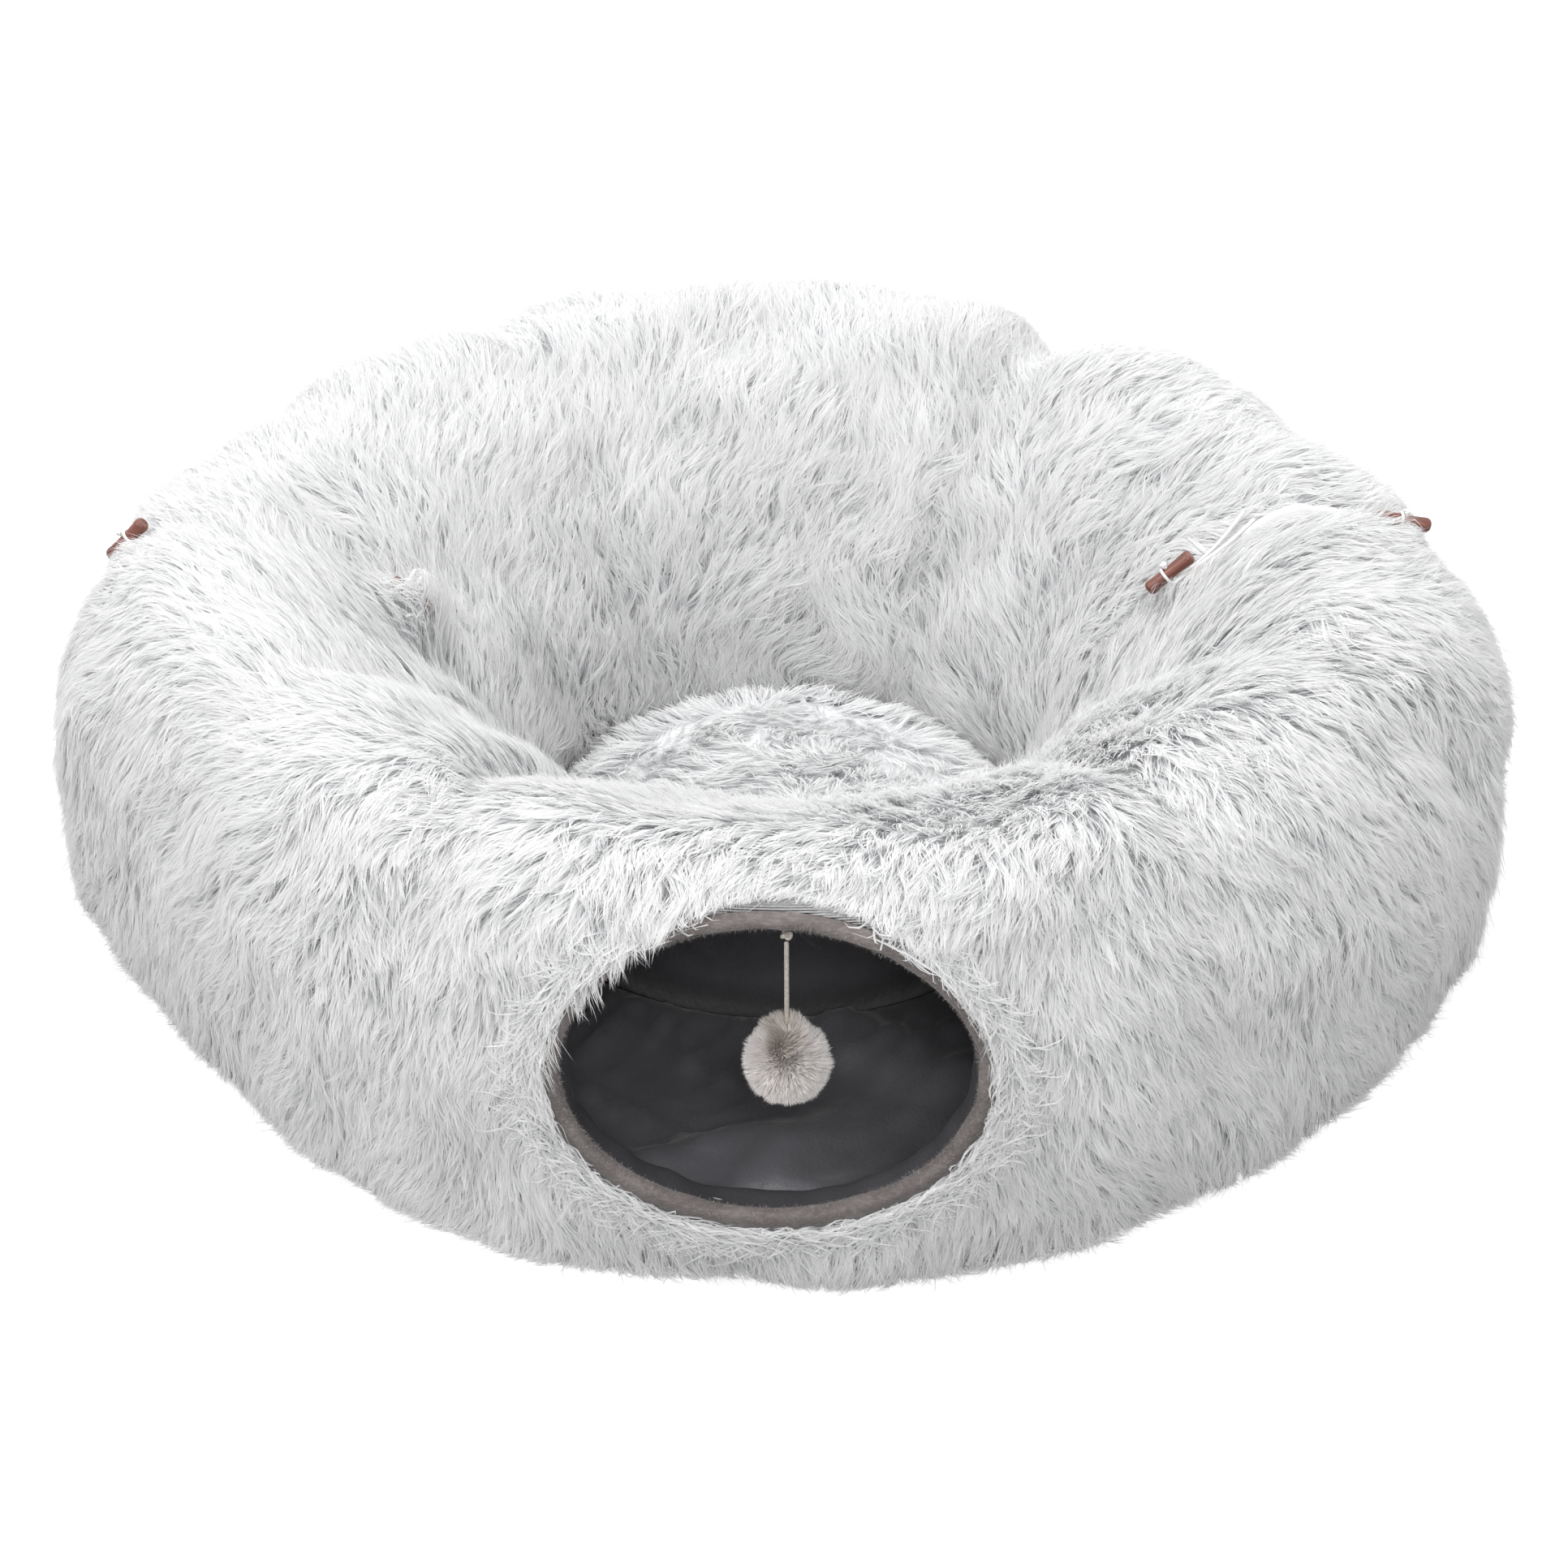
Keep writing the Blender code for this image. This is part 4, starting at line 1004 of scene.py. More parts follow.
def make_ring_pile(surface, toggles, material):
    """The pile of both halves, in sectors, and the fringe. Returns the pieces of each half."""
    rng = np.random.default_rng(SEED)
    pile = grow(surface, RING_PILE, rng)
    over_toggles(pile, toggles)
    from_seam = np.mod(pile["u"] - SEAM_AZIMUTH, 360)
    made = {"front": [], "back": []}
    back_span = FULL_TURN - 2 * SEAM_AZIMUTH
    for side, start, span in (("back", 0.0, back_span), ("front", back_span, 360 - back_span)):
        for k in range(SECTORS[side]):
            low = start + span * k / SECTORS[side]
            high = start + span * (k + 1) / SECTORS[side]
            pick = (from_seam >= low) & (from_seam < high)
            sector = strands(f"{side}_pile_{k + 1}", pile, pick, material)
            made[side].append(dress(sector, f"{side}_half", "fur"))
    made["front"].append(make_fringe(material, rng))
    return made


# Layers of the halves


def half_span(side, radius, cell):
    """Azimuths over a half, about a cell apart, and shifts that set its two ends back."""
    first, last = SIDES[side]
    columns = round(math.radians(last - first) * radius / cell) + 1
    shift = np.zeros(columns)
    shift[0] = SHELL_SETBACK
    shift[-1] = -SHELL_SETBACK
    return np.linspace(first, last, columns), shift


def from_ends(side, azimuth, radius):
    """Distance along the ring from the nearer end of a half."""
    first, last = SIDES[side]
    return np.radians(np.minimum(azimuth - first, last - azimuth)) * radius


def tube_layer(name, side, inset, floor, cell, material, gather=None):
    """One layer of a half, its feet run down to floor, with the mouth's hole in the front one."""
    azimuth, shift = half_span(side, TUBE_MEAN_RADIUS, cell)
    feet = np.interp((OUTER_FOOT_TURN, INNER_FOOT_TURN), MOUTH_TURNS, MOUTH_LENGTHS)
    rows = round((feet[1] - feet[0]) / cell)
    turn = np.interp(np.linspace(*feet, rows + 1), MOUTH_LENGTHS, MOUTH_TURNS)
    turn = np.concatenate([[0.0], turn, [FULL_TURN]])
    azimuth, turn = np.meshgrid(azimuth, turn, indexing="ij")
    shift = np.broadcast_to(shift[:, None], azimuth.shape)
    hole = np.zeros(azimuth.shape, bool)
    if side == "front":
        across, along = mouth_place(azimuth, turn)
        hole = np.hypot(across, along) < 1
        angle = np.arctan2(along, across)
        edge_azimuth, edge_turn = from_mouth(angle, 0.0)
        azimuth = np.where(hole, edge_azimuth, azimuth)
        turn = np.where(hole, edge_turn, turn)
    if gather is not None:
        fade = smooth_step(0.0, FOLD_FADE, from_ends(side, azimuth, RING_RADIUS))
        fade = fade * smooth_step(OUTER_FOOT_TURN, OUTER_FOOT_TURN + FOLD_FADE_TURN, turn)
        fade = fade * (1 - smooth_step(INNER_FOOT_TURN - FOLD_FADE_TURN, INNER_FOOT_TURN, turn))
        if side == "front":
            fade = fade * smooth_step(0.0, FOLD_FADE, -in_mouth(azimuth, turn))
        inset = inset + gather(azimuth, turn) * fade
    points = layer_point(azimuth, turn, inset, shift, floor)
    quads = grid_faces(*azimuth.shape)
    return from_quads(name, points, quads[~hole.ravel()[quads].all(axis=1)], material)


def floor_layer(name, side, inset, low, thickness, cell, material, wrinkle=None):
    """A closed slab of cloth between the feet of the layer at this inset."""
    azimuth, shift = half_span(side, FLOOR_MEAN_RADIUS, cell)
    columns, rows = len(azimuth), round(FLOOR_WIDTH / cell) + 1
    outer = layer_point(azimuth, 0.0, inset, shift, low)
    inner = layer_point(azimuth, FULL_TURN, inset, shift, low)
    part = np.linspace(0, 1, rows)
    flat = outer[:, None] + (inner - outer)[:, None] * part[None, :, None]
    width = np.linalg.norm(inner - outer, axis=1)[:, None] * np.minimum(part, 1 - part)[None, :]
    from_edge = np.minimum(width, from_ends(side, azimuth, FLOOR_MEAN_RADIUS)[:, None])
    top = flat.copy()
    top[..., 2] = low + thickness * (0.25 + 0.75 * smooth_step(-0.004, 0.010, from_edge))
    if wrinkle is not None:
        top[..., 2] += wrinkle(flat) * smooth_step(0.0, FLOOR_FOLD_FADE, from_edge)
    bottom = flat.copy()
    bottom[..., 2] = low
    upper = grid_faces(columns, rows)
    lower = upper[:, ::-1] + columns * rows
    rim = np.concatenate([
        np.arange(rows),
        np.arange(1, columns) * rows + rows - 1,
        (columns - 1) * rows + np.arange(rows - 2, -1, -1),
        np.arange(columns - 2, 0, -1) * rows,
    ])
    after = np.roll(rim, -1)
    wall = np.stack([rim, after, after + columns * rows, rim + columns * rows], axis=1)
    quads = np.concatenate([upper, lower, wall])
    return from_quads(name, np.concatenate([top, bottom]), quads, material)


class Gathers:
    """Soft folds in cloth: ridges that run along a heading and fade in and out."""

    def __init__(self, rng, sizes):
        self.layers = [
            (height, stretch, math.radians(heading), Waves(rng, spacing), Waves(rng, 0.2))
            for height, spacing, stretch, heading in sizes
        ]

    def __call__(self, x, y):
        """Heights of the folds at places on the cloth."""
        total = np.zeros(np.shape(x))
        for height, stretch, heading, wave, strength in self.layers:
            along = x * math.cos(heading) + y * math.sin(heading)
            across = y * math.cos(heading) - x * math.sin(heading)
            noise = wave(np.stack([along / stretch, across, np.zeros_like(along)], axis=-1))
            place = np.stack([x, y, np.zeros_like(x)], axis=-1)
            part = 0.55 + 0.45 * np.clip(strength(place), -1, 1)
            total += height * bell(noise, 0.36) * part
        return total


def make_halves(materials, rng):
    """The cloths and padding of both halves, under the pieces of their pile."""
    for side in SIDES:
        body = f"{side}_half"

        backing = tube_layer(
            f"{side}_backing", side, BACKING_INSET, SEWN_GAP, 0.008, materials["backing"]
        )
        thicken(backing, BACKING_THICKNESS)
        dress(backing, body, "fur", f"{side}_fur_cover")

        bumps = Waves(rng, 0.05)

        def quilt(azimuth, turn):
            return QUILT_HEIGHT * (1 + bumps(ring_point(azimuth, turn, 0.0)))

        padding = tube_layer(
            f"{side}_padding", side, WADDING_INSET, LAYER_FLOOR, 0.009, materials["wadding"], quilt
        )
        thicken(padding, WADDING_THICKNESS - 0.003)
        dress(padding, body, "wadding", f"{side}_wadding")

        folds = Gathers(rng, LINING_FOLDS)

        def gather(azimuth, turn):
            length = np.interp(turn, MOUTH_TURNS, MOUTH_LENGTHS)
            return folds(np.radians(azimuth) * FLOOR_MEAN_RADIUS, length)

        lining = tube_layer(
            f"{side}_lining_cloth", side, LINING_INSET, LAYER_FLOOR, 0.005, materials["lining"],
            gather,
        )
        thicken(lining, LINING_THICKNESS)
        dress(lining, body, "lining", f"{side}_lining")

        creases = Gathers(rng, FLOOR_FOLDS)

        def wrinkle(points):
            return creases(points[..., 0], points[..., 1])

        pad = floor_layer(
            f"{side}_floor_cloth", side, WALL_THICKNESS + SEWN_GAP, LAYER_FLOOR,
            FLOOR_PAD_THICKNESS, 0.007, materials["lining"], wrinkle,
        )
        inflate(pad, 2.0, 0.002)
        dress(pad, body, "lining", f"{side}_floor_pad")

        base = floor_layer(
            f"{side}_base_cloth", side, BASE_INSET, 0.0, BASE_THICKNESS - SEWN_GAP, 0.012,
            materials["base"],
        )
        dress(base, body, "base", f"{side}_base_panel")


def make_tape(name, azimuth, direction, risen, material):
    """Satin tape folded over the layers at one end of a half."""
    rows = 150
    lengths = np.linspace(0, MOUTH_LENGTHS[-1], rows)
    turn = np.interp(lengths, MOUTH_LENGTHS, MOUTH_TURNS)
    corner = np.linspace(0, 2 * math.pi, 24, endpoint=False)
    square = np.abs(np.cos(corner)) ** 0.5 * np.sign(np.cos(corner))
    depth = np.abs(np.sin(corner)) ** 0.5 * np.sign(np.sin(corner))
    puff = 1 + 0.10 * np.sin(lengths * 2 * math.pi / 0.021)[:, None]
    crest = risen * bell(turn - TAPE_CREST_TURN, TAPE_CREST_SPREAD)[:, None]
    half = (TAPE_THICKNESS + TAPE_SWELL * crest) / 2
    shift = direction * (SEWN_GAP + half * (1 + square[None, :] * puff))
    outer = TAPE_INSET - TAPE_RISE * crest
    middle = (outer + WALL_THICKNESS) / 2
    inset = middle - (WALL_THICKNESS - outer) / 2 * depth[None, :]
    points = layer_point(azimuth, turn[:, None], inset, shift, 0.0008)
    quads = grid_faces(rows, len(corner), wrap_rows=True)
    ring = np.arange(len(corner))
    return capped(name, points, quads, [ring[::-1], (rows - 1) * len(corner) + ring], material)


def make_tapes(material):
    for side, (first, last) in SIDES.items():
        names = ("left", "right") if side == "front" else ("right", "left")
        for place, azimuth, direction in ((names[0], first, 1), (names[1], last, -1)):
            risen = float((side, place) == ("back", "right"))
            tape = make_tape(f"{side}_tape_{place}", azimuth, direction, risen, material)
            dress(tape, f"{side}_half", "tape", f"{side}_end_binding_{place}")


# Felt binding of the mouth


def felt_profile():
    """(margin, inset) round the binding's section, from its front flange over its web to the
    back, and how many of these places show."""
    back = FELT_REAR
    outer = [(SEWN_GAP, FELT_INSET)]
    inner = [(SEWN_GAP, back - FELT_THICKNESS)]
    quarter = np.linspace(0, math.pi / 2, 7)
    r = FELT_CORNER
    outer += [(FELT_WIDTH - r + r * math.sin(a), FELT_INSET + r - r * math.cos(a)) for a in quarter]
    outer += [(FELT_WIDTH, k) for k in np.linspace(FELT_INSET + r, back - r, 4)[1:-1]]
    outer += [(FELT_WIDTH - r + r * math.cos(a), back - r + r * math.sin(a)) for a in quarter]
    outer += [(SEWN_GAP, back)]
    r = FELT_CORNER - FELT_THICKNESS
    web = FELT_WIDTH - FELT_THICKNESS
    front = FELT_INSET + FELT_THICKNESS
    rear = back - FELT_THICKNESS
    inner += [(web - r + r * math.sin(a), rear - r + r * math.cos(a)) for a in quarter[::2]]
    inner += [(web - r + r * math.cos(a), front + r - r * math.sin(a)) for a in quarter[::2]]
    inner += [(SEWN_GAP, front)]
    return np.array(outer + inner), len(outer)


def make_felt(material, satin, rng):
    """The mouth's felt binding, the satin behind it, painted darker as shade, and the felt's fuzz.
    """
    profile, shown = felt_profile()
    pucker = Waves(rng, 0.02)
    sway = Waves(rng, 0.07)

    def places(angle, spots, swell):
        azimuth, turn = from_mouth(angle, spots[..., 0] + swell)
        return ring_point(azimuth, turn, spots[..., 1])

    def band(name, outline, ripple, closed, material):
        """A band round the mouth with this outline, rippled by a function of its points."""
        angle = np.linspace(0, 2 * math.pi, 320, endpoint=False)[:, None]
        spots = np.broadcast_to(outline, (len(angle), len(outline), 2))
        angle = np.broadcast_to(angle, spots.shape[:2])
        points = places(angle, spots, ripple(places(angle, spots, 0.0)))
        quads = grid_faces(*angle.shape, wrap_columns=True, wrap_rows=closed)
        return from_quads(name, points, quads, material)

    swells = np.zeros(len(profile))
    swells[1 : shown - 1] = 1.0
    binding = band(
        "felt_binding", profile,
        lambda points: (0.00035 * pucker(points) + 0.0004 * sway(points)) * swells,
        True, material,
    )
    dress(binding, "front_half", "felt", "mouth_binding")

    edge = FELT_WIDTH - 0.0012
    strip = [
        (edge, FELT_REAR - 0.002), (edge, FELT_REAR + 0.004), (edge, LINING_INSET - 0.0035),
        (edge - 0.0010, LINING_INSET - 0.0005), (edge - 0.0030, WALL_THICKNESS),
        (SEWN_GAP, WALL_THICKNESS),
    ]
    strip = smooth_path(strip, 2)
    # The facing takes the darker satin: painted shade in the recess behind the felt
    facing = band("mouth_facing", strip, lambda points: 0.0007 * pucker(points), False, satin)
    dress(facing, "front_half", "lining")

    count = FELT_FUZZ
    where = rng.uniform(0, 2 * math.pi, count)
    row = rng.integers(1, shown - 2, count)
    part = rng.uniform(0, 1, count)[:, None]
    spot = profile[row] * (1 - part) + profile[row + 1] * part
    root = places(where, spot, 0.0)
    # Out of the flange where the row is on it, and else into the mouth
    out = unit(places(where, spot, 0.001) - root)
    forward = unit(places(where, spot - [0, 0.001], 0.0) - root)
    out = np.where(row[:, None] < 5, forward, out)
    way = unit(out * rng.uniform(0.2, 1.0, (count, 1)) + rng.normal(0, 0.6, (count, 3)))
    length = rng.uniform(0.0008, 0.0024, count)
    curl = unit(rng.normal(size=(count, 3)))
    shares = PATH_SHARES[None, :, None]
    steps = shares * length[:, None, None]
    spine = root[:, None] + way[:, None] * steps + curl[:, None] * steps * shares * 0.5
    side = unit(np.cross(way, curl))
    half = 0.00006 * rng.uniform(0.7, 1.4, count)[:, None] * np.array([1.0, 1.0, 0.9, 0.7])
    fuzz = ribbons("felt_fuzz", spine, side, half, rng.uniform(0, 1, count), felt_fuzz_material())
    dress(fuzz, "front_half", "felt")


# Toy


def make_toy(materials, rng):
    """The pom-pom on its cord, and the knot that holds it."""
    pivot = np.array(next(j["pos_m"] for j in frame["joints"] if j["name"] == "toy_sway"))
    knot = knotted("toy_knot_cord", pivot, (0, 0, 1), TOY_KNOT_RADIUS, 0.0023, materials["cord"])
    dress(knot, "toy_knot", "cord", "pompom_knot")
    top = pivot - [0, 0, TOY_KNOT_RADIUS + SEWN_GAP]
    bottom = top - [0, 0, TOY_CORD_LENGTH]
    path = top + (bottom - top) * np.linspace(0, 1, 40)[:, None]
    cord = braided("toy_cord", path, TOY_CORD_DIAMETER, materials["cord"], pick=0.0017)
    dress(cord, "toy", "cord", "pompom_cord")
    path, _ = even_path(path, CORD_STEP)
    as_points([tuple(p) for p in path[::6]] + [tuple(path[-1])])
    centre = bottom - [0, 0, SEWN_GAP + POMPOM_RADIUS]

    lon = np.linspace(0, 2 * math.pi, 48, endpoint=False)
    lat = np.linspace(0.02, math.pi - 0.02, 24)
    lon, lat = np.meshgrid(lon, lat, indexing="ij")
    ball = np.stack([np.sin(lat) * np.cos(lon), np.sin(lat) * np.sin(lon), np.cos(lat)], axis=-1)
    lumps = Waves(rng, 0.9)
    ball = centre + ball * (POMPOM_HEART_RADIUS * (1 + 0.05 * lumps(ball)))[..., None]
    # The heart's cream yarn is darker than the strands: painted shade deep in the pom-pom
    heart = closed_round("pompom_heart", ball, materials["yarn"])
    dress(heart, "toy", "pompom", "pompom")

    count = POMPOM_STRANDS
    k = np.arange(count) + 0.5
    height = 1 - 2 * k / count
    turn = k * math.pi * (3 - math.sqrt(5))
    ring = np.sqrt(1 - height**2)
    way = np.stack([ring * np.cos(turn), ring * np.sin(turn), height], axis=-1)
    way = unit(way + rng.normal(0, 0.05, (count, 3)))
    crown = smooth_step(0.66, 0.96, way[:, 2] + 0.10 * Waves(rng, 0.8)(way))
    tuft = Waves(rng, 0.35)(way)
    length = POMPOM_RADIUS * (0.97 + 0.025 * tuft + rng.normal(0, 0.02, count) + 0.07 * crown)
    swirl = unit(np.cross([0, 0, 1.0], way) + 1e-9)
    lean = unit(swirl * 0.8 + way * [1, 1, 0] * 0.9)
    shares = POMPOM_ROOT_SHARE + (1 - POMPOM_ROOT_SHARE) * PATH_SHARES
    bend = (0.0050 * crown + 0.0008)[:, None] * PATH_SHARES[None, :] ** 2
    spine = centre + way[:, None] * (length[:, None] * shares[None, :])[..., None]
    spine += lean[:, None] * bend[..., None]
    spine += rng.normal(0, 0.00035, spine.shape) * PATH_SHARES[None, :, None]
    side = unit(np.cross(way, rng.normal(size=(count, 3))))
    half = 0.00042 * rng.uniform(0.6, 1.3, count)[:, None] * np.array([1.2, 1.1, 0.9, 0.6])
    tone = 0.5 * crown + 0.5 * crown * rng.uniform(0.0, 1.0, count)
    tone = np.clip(tone + rng.normal(0, 0.05, count), 0, 1)
    fluff = ribbons("pompom_fluff", spine, side, half, tone, pompom_material())
    dress(fluff, "toy", "pompom")


# Toggle closures


def read_toggles():
    """Each toggle's seat, middle, long axis and way out of the pile, from its solid and joint."""
    toggles = {}
    for name in CLOSURES:
        joint = next(j for j in frame["joints"] if j["name"] == f"toggle_{name}_swivel")
        seat = np.array(joint["pos_m"])
        out = unit(np.array(joint["axis"], float))
        mesh = frame["nodes"][f"toggle_{name}"].data
        points = np.array([tuple(vertex.co) for vertex in mesh.vertices])
        axis = np.linalg.svd(points - points.mean(axis=0), full_matrices=False)[2][0]
        axis = unit(axis - out * np.dot(axis, out))
        inward = -np.array([seat[0], seat[1], 0.0])
        axis = axis * np.sign(np.dot(axis, inward))
        toggles[name] = {"seat": seat, "out": out, "axis": axis, "centre": seat + out * TOGGLE_SEAT}
    return toggles


def loop_paths(surface, toggles):
    """The line of each loop: out from the seam, round the toggle's cord and back."""
    for name, toggle in toggles.items():
        setback, slant, direction = CLOSURES[name]
        seam = SEAM_AZIMUTH if direction > 0 else FULL_TURN - SEAM_AZIMUTH
        near = np.arange(round(seam - 16) * 2, round(seam + 16) * 2) % surface.columns
        columns = surface.points[near]
        faces = grid_faces(*columns.shape[:2])
        tree = BVHTree.FromPolygons(columns.reshape(-1, 3).tolist(), faces.tolist())
        here, out, over = (Vector(toggle[key]) for key in ("seat", "out", "axis"))
        across = over.cross(out) * direction
        heading = math.radians(slant)
        along = across * math.cos(heading) - over * math.sin(heading)
        aside = over * math.cos(heading) + across * math.sin(heading)
        bend = (TOGGLE_CORD_DIAMETER + LOOP_DIAMETER) / 2 + SEWN_GAP
        height = LOOP_DIAMETER / 2 - 0.0012

        def on_pile(u, v):
            point = here + along * u + aside * v
            for _ in range(12):
                place, normal = tree.find_nearest(point)[:2]
                point += out * (place - point).dot(out)
            return point + out * (height / max(normal.dot(out), 0.5))

        length = (setback + LOOP_ANCHOR_SETBACK) / math.cos(heading)
        legs = list(np.linspace(length, 0.0, 22))
        path = [on_pile(u, bend) for u in legs]
        turns = np.linspace(1.2, -1.2, 7)
        path += [on_pile(-bend * math.cos(turn), bend * math.sin(turn)) for turn in turns]
        path += [on_pile(u, -bend) for u in legs[::-1]]
        toggle["loop"] = smooth_path([tuple(point) for point in path], 2)


def plan_toggle_fur(toggles):
    """Mounds of pile by each toggle (middle, height, radius), and places that it leaves bare
    (middle, radius)."""
    for name, toggle in toggles.items():
        centre, axis, out = toggle["centre"], toggle["axis"], toggle["out"]
        side = np.cross(axis, out)
        toggle["bare"] = []
        if name == "left_inner":
            toggle["mounds"] = [(centre, 0.016, 0.030), (centre - [0, 0.016, 0], 0.014, 0.020)]
        elif name == "right_inner":
            toggle["mounds"] = [
                (centre + side * 0.014, 0.005, 0.010), (centre - side * 0.014, 0.005, 0.010),
                (centre + axis * 0.015, 0.012, 0.007),
            ]
            toggle["bare"] = [(place, 0.0034) for place in toggle["loop"][::6]]
            turns = np.arange(80.0, 122.0, 1.5)
            ridge = ring_point(SEAM_AZIMUTH, turns, TAPE_INSET - TAPE_RISE, 0.004)
            toggle["bare"] += [(place, 0.0048) for place in ridge]
        else:
            end = 1 if name == "right_outer" else -1
            behind = [-0.010 * end, 0.030, 0.0]
            toggle["mounds"] = [
                (centre + side * 0.013, 0.006, 0.010), (centre - side * 0.013, 0.006, 0.010),
                (centre + axis * end * 0.015, 0.013, 0.007), (centre + behind, 0.012, 0.024),
            ]


def toggle_outline():
    """(radii, heights) of a barrel toggle with rounded ends and a slim waist, from its top down."""
    shares = np.array([
        (0.45, 0.985), (0.66, 1.0), (0.80, 0.975), (0.93, 0.92), (0.995, 0.85), (0.975, 0.75),
        (0.94, 0.66), (0.91, 0.50), (0.885, 0.30), (0.875, 0.12), (0.875, 0.0),
    ])
    whole = np.concatenate([shares, shares[-2::-1] * [1, -1]])
    return (whole * [TOGGLE_DIAMETER / 2, TOGGLE_LENGTH / 2]).T


def make_toggles(toggles, materials):
    """The turned toggles with their cross holes, the cords wound on them, their posts and loops."""
    for name, toggle in toggles.items():
        seat, centre, axis, out = (toggle[key] for key in ("seat", "centre", "axis", "out"))
        across = np.cross(axis, out)
        points = lathed(*toggle_outline(), 48)
        blank = closed_round(f"barrel_{name}", points, materials["toggle"])
        bpy.ops.mesh.primitive_cylinder_add(
            vertices=32, radius=TOGGLE_HOLE_RADIUS, depth=TOGGLE_DIAMETER * 2
        )
        cutter = bpy.context.object
        cutter.rotation_euler = (math.pi / 2, 0, 0)
        cut = blank.modifiers.new("hole", "BOOLEAN")
        cut.operation = "DIFFERENCE"
        cut.object = cutter
        graph = bpy.context.evaluated_depsgraph_get()
        mesh = bpy.data.meshes.new_from_object(blank.evaluated_get(graph))
        barrel = bpy.data.objects.new(f"barrel_{name}_turned", mesh)
        bpy.context.scene.collection.objects.link(barrel)
        bpy.data.objects.remove(blank)
        bpy.data.objects.remove(cutter)
        soften = barrel.modifiers.new("edges", "BEVEL")
        soften.width = 0.00035
        soften.segments = 2
        soften.limit_method = "ANGLE"
        axes = Matrix([across, out, axis]).transposed()
        barrel.matrix_world = Matrix.Translation(centre) @ axes.to_4x4()
        dress(barrel, f"toggle_{name}", "toggle", f"toggle_{name}")

        angle = np.linspace(0, 2 * math.pi, 49)[:, None]
        reach = TOGGLE_DIAMETER / 2 * 0.9 + 0.0007
        path = centre + axis * WRAP_OFFSET + (across * np.cos(angle) + out * np.sin(angle)) * reach
        wrap = braided(
            f"wrap_{name}", path, WRAP_DIAMETER, materials["loop"], pick=0.0014, closed=True
        )
        dress(wrap, f"toggle_{name}", "loop")

        top = TOGGLE_SEAT + TOGGLE_DIAMETER / 2
        path = seat + out * np.linspace(-0.006, top + 0.0015, 24)[:, None]
        cord = braided(f"post_{name}", path, TOGGLE_CORD_DIAMETER, materials["loop"], pick=0.0016)
        middle = seat + out * (top + TOGGLE_KNOT_RADIUS * 0.55)
        knot = knotted(
            f"post_knot_{name}", middle, out, TOGGLE_KNOT_RADIUS, 0.0018, materials["loop"]
        )
        post = joined(f"toggle_post_{name}", [cord, knot])
        dress(post, "front_half", "loop", f"toggle_cord_{name}")
        loop = braided(f"loop_cord_{name}", toggle["loop"], LOOP_DIAMETER, materials["loop"])
        dress(loop, "back_half", "loop", f"loop_{name}")


# Cushion


def cushion_profile(inset, steps=160):
    """(radius, height) along the cushion's side, from the middle of its top to its foot."""
    shares = np.array(CUSHION_CROWN_SHARES) * [CUSHION_RADIUS, CUSHION_HEIGHT]
    path = smooth_path(shares, 3)
    path, _ = even_path(path, np.linalg.norm(np.diff(path, axis=0), axis=1).sum() / steps)
    radius, height = path.T
    slope_r, slope_z = np.gradient(radius), np.gradient(height)
    size = np.hypot(slope_r, slope_z)
    return radius + slope_z / size * inset, height - slope_r / size * inset


def turned(name, radius, height, material, columns, lump=None):
    """A closed form turned round Z from a profile that runs from its top's middle to its foot."""
    points = lathed(np.maximum(radius, 0.0004), height, columns)
    if lump is not None:
        points[..., 2] += lump(points) * np.clip(height / CUSHION_HEIGHT, 0, 1)
    return closed_round(name, points, material)


def make_cushion(materials):
    """The cushion's cover with its pile, its filling and its base cloth."""
    rng = np.random.default_rng(SEED + 2)
    surface = CushionSurface(rng)

    def lump(points):
        return PILE_LUMP * surface.lump(points)

    radius, height = cushion_profile(0.0085, 60)
    height = np.maximum(height, CUSHION_BASE_THICKNESS + SEWN_GAP)
    backing = turned("cushion_backing", radius, height, materials["backing"], 144, lump)
    inflate(backing, 1.5, 0.0015)
    dress(backing, "cushion", "fur", "cushion_cover")
    pile = grow(surface, CUSHION_PILE, rng)
    fur = strands("cushion_pile", pile, slice(None), fur_material("cushion_fur"))
    dress(fur, "cushion", "fur")

    radius, height = cushion_profile(CUSHION_COVER_THICKNESS + 0.003, 40)
    height = np.maximum(height, CUSHION_BASE_THICKNESS + 2 * SEWN_GAP)
    filling = turned("cushion_stuffing", radius, height, materials["wadding"], 96, lump)
    inflate(filling, 1.5, 0.001)
    dress(filling, "cushion", "wadding", "cushion_filling")

    rim = CUSHION_RADIUS * CUSHION_CROWN_SHARES[-1][0] - CUSHION_COVER_THICKNESS
    arc = np.linspace(0, math.pi, 9)
    half = CUSHION_BASE_THICKNESS / 2
    flat = np.linspace(0, rim - half, 30)
    radius = np.concatenate([flat, rim - half + half * np.sin(arc[1:]), [0.0]])
    height = np.concatenate([np.full(len(flat), 2 * half), half + half * np.cos(arc[1:]), [0.0]])
    base = turned("cushion_underside", radius, height, materials["base"], 144)
    dress(base, "cushion", "base", "cushion_base")


# Materials


class Tree:
    """Short calls for building nodes."""

    def __init__(self, tree):
        self.tree = tree

    def add(self, kind, **values):
        """A node with these values for its inputs or its own settings."""
        node = self.tree.nodes.new(kind)
        for key, value in values.items():
            if key in node.inputs.keys():
                node.inputs[key].default_value = value
            else:
                setattr(node, key, value)
        return node

    def link(self, source, target):
        self.tree.links.new(source, target)


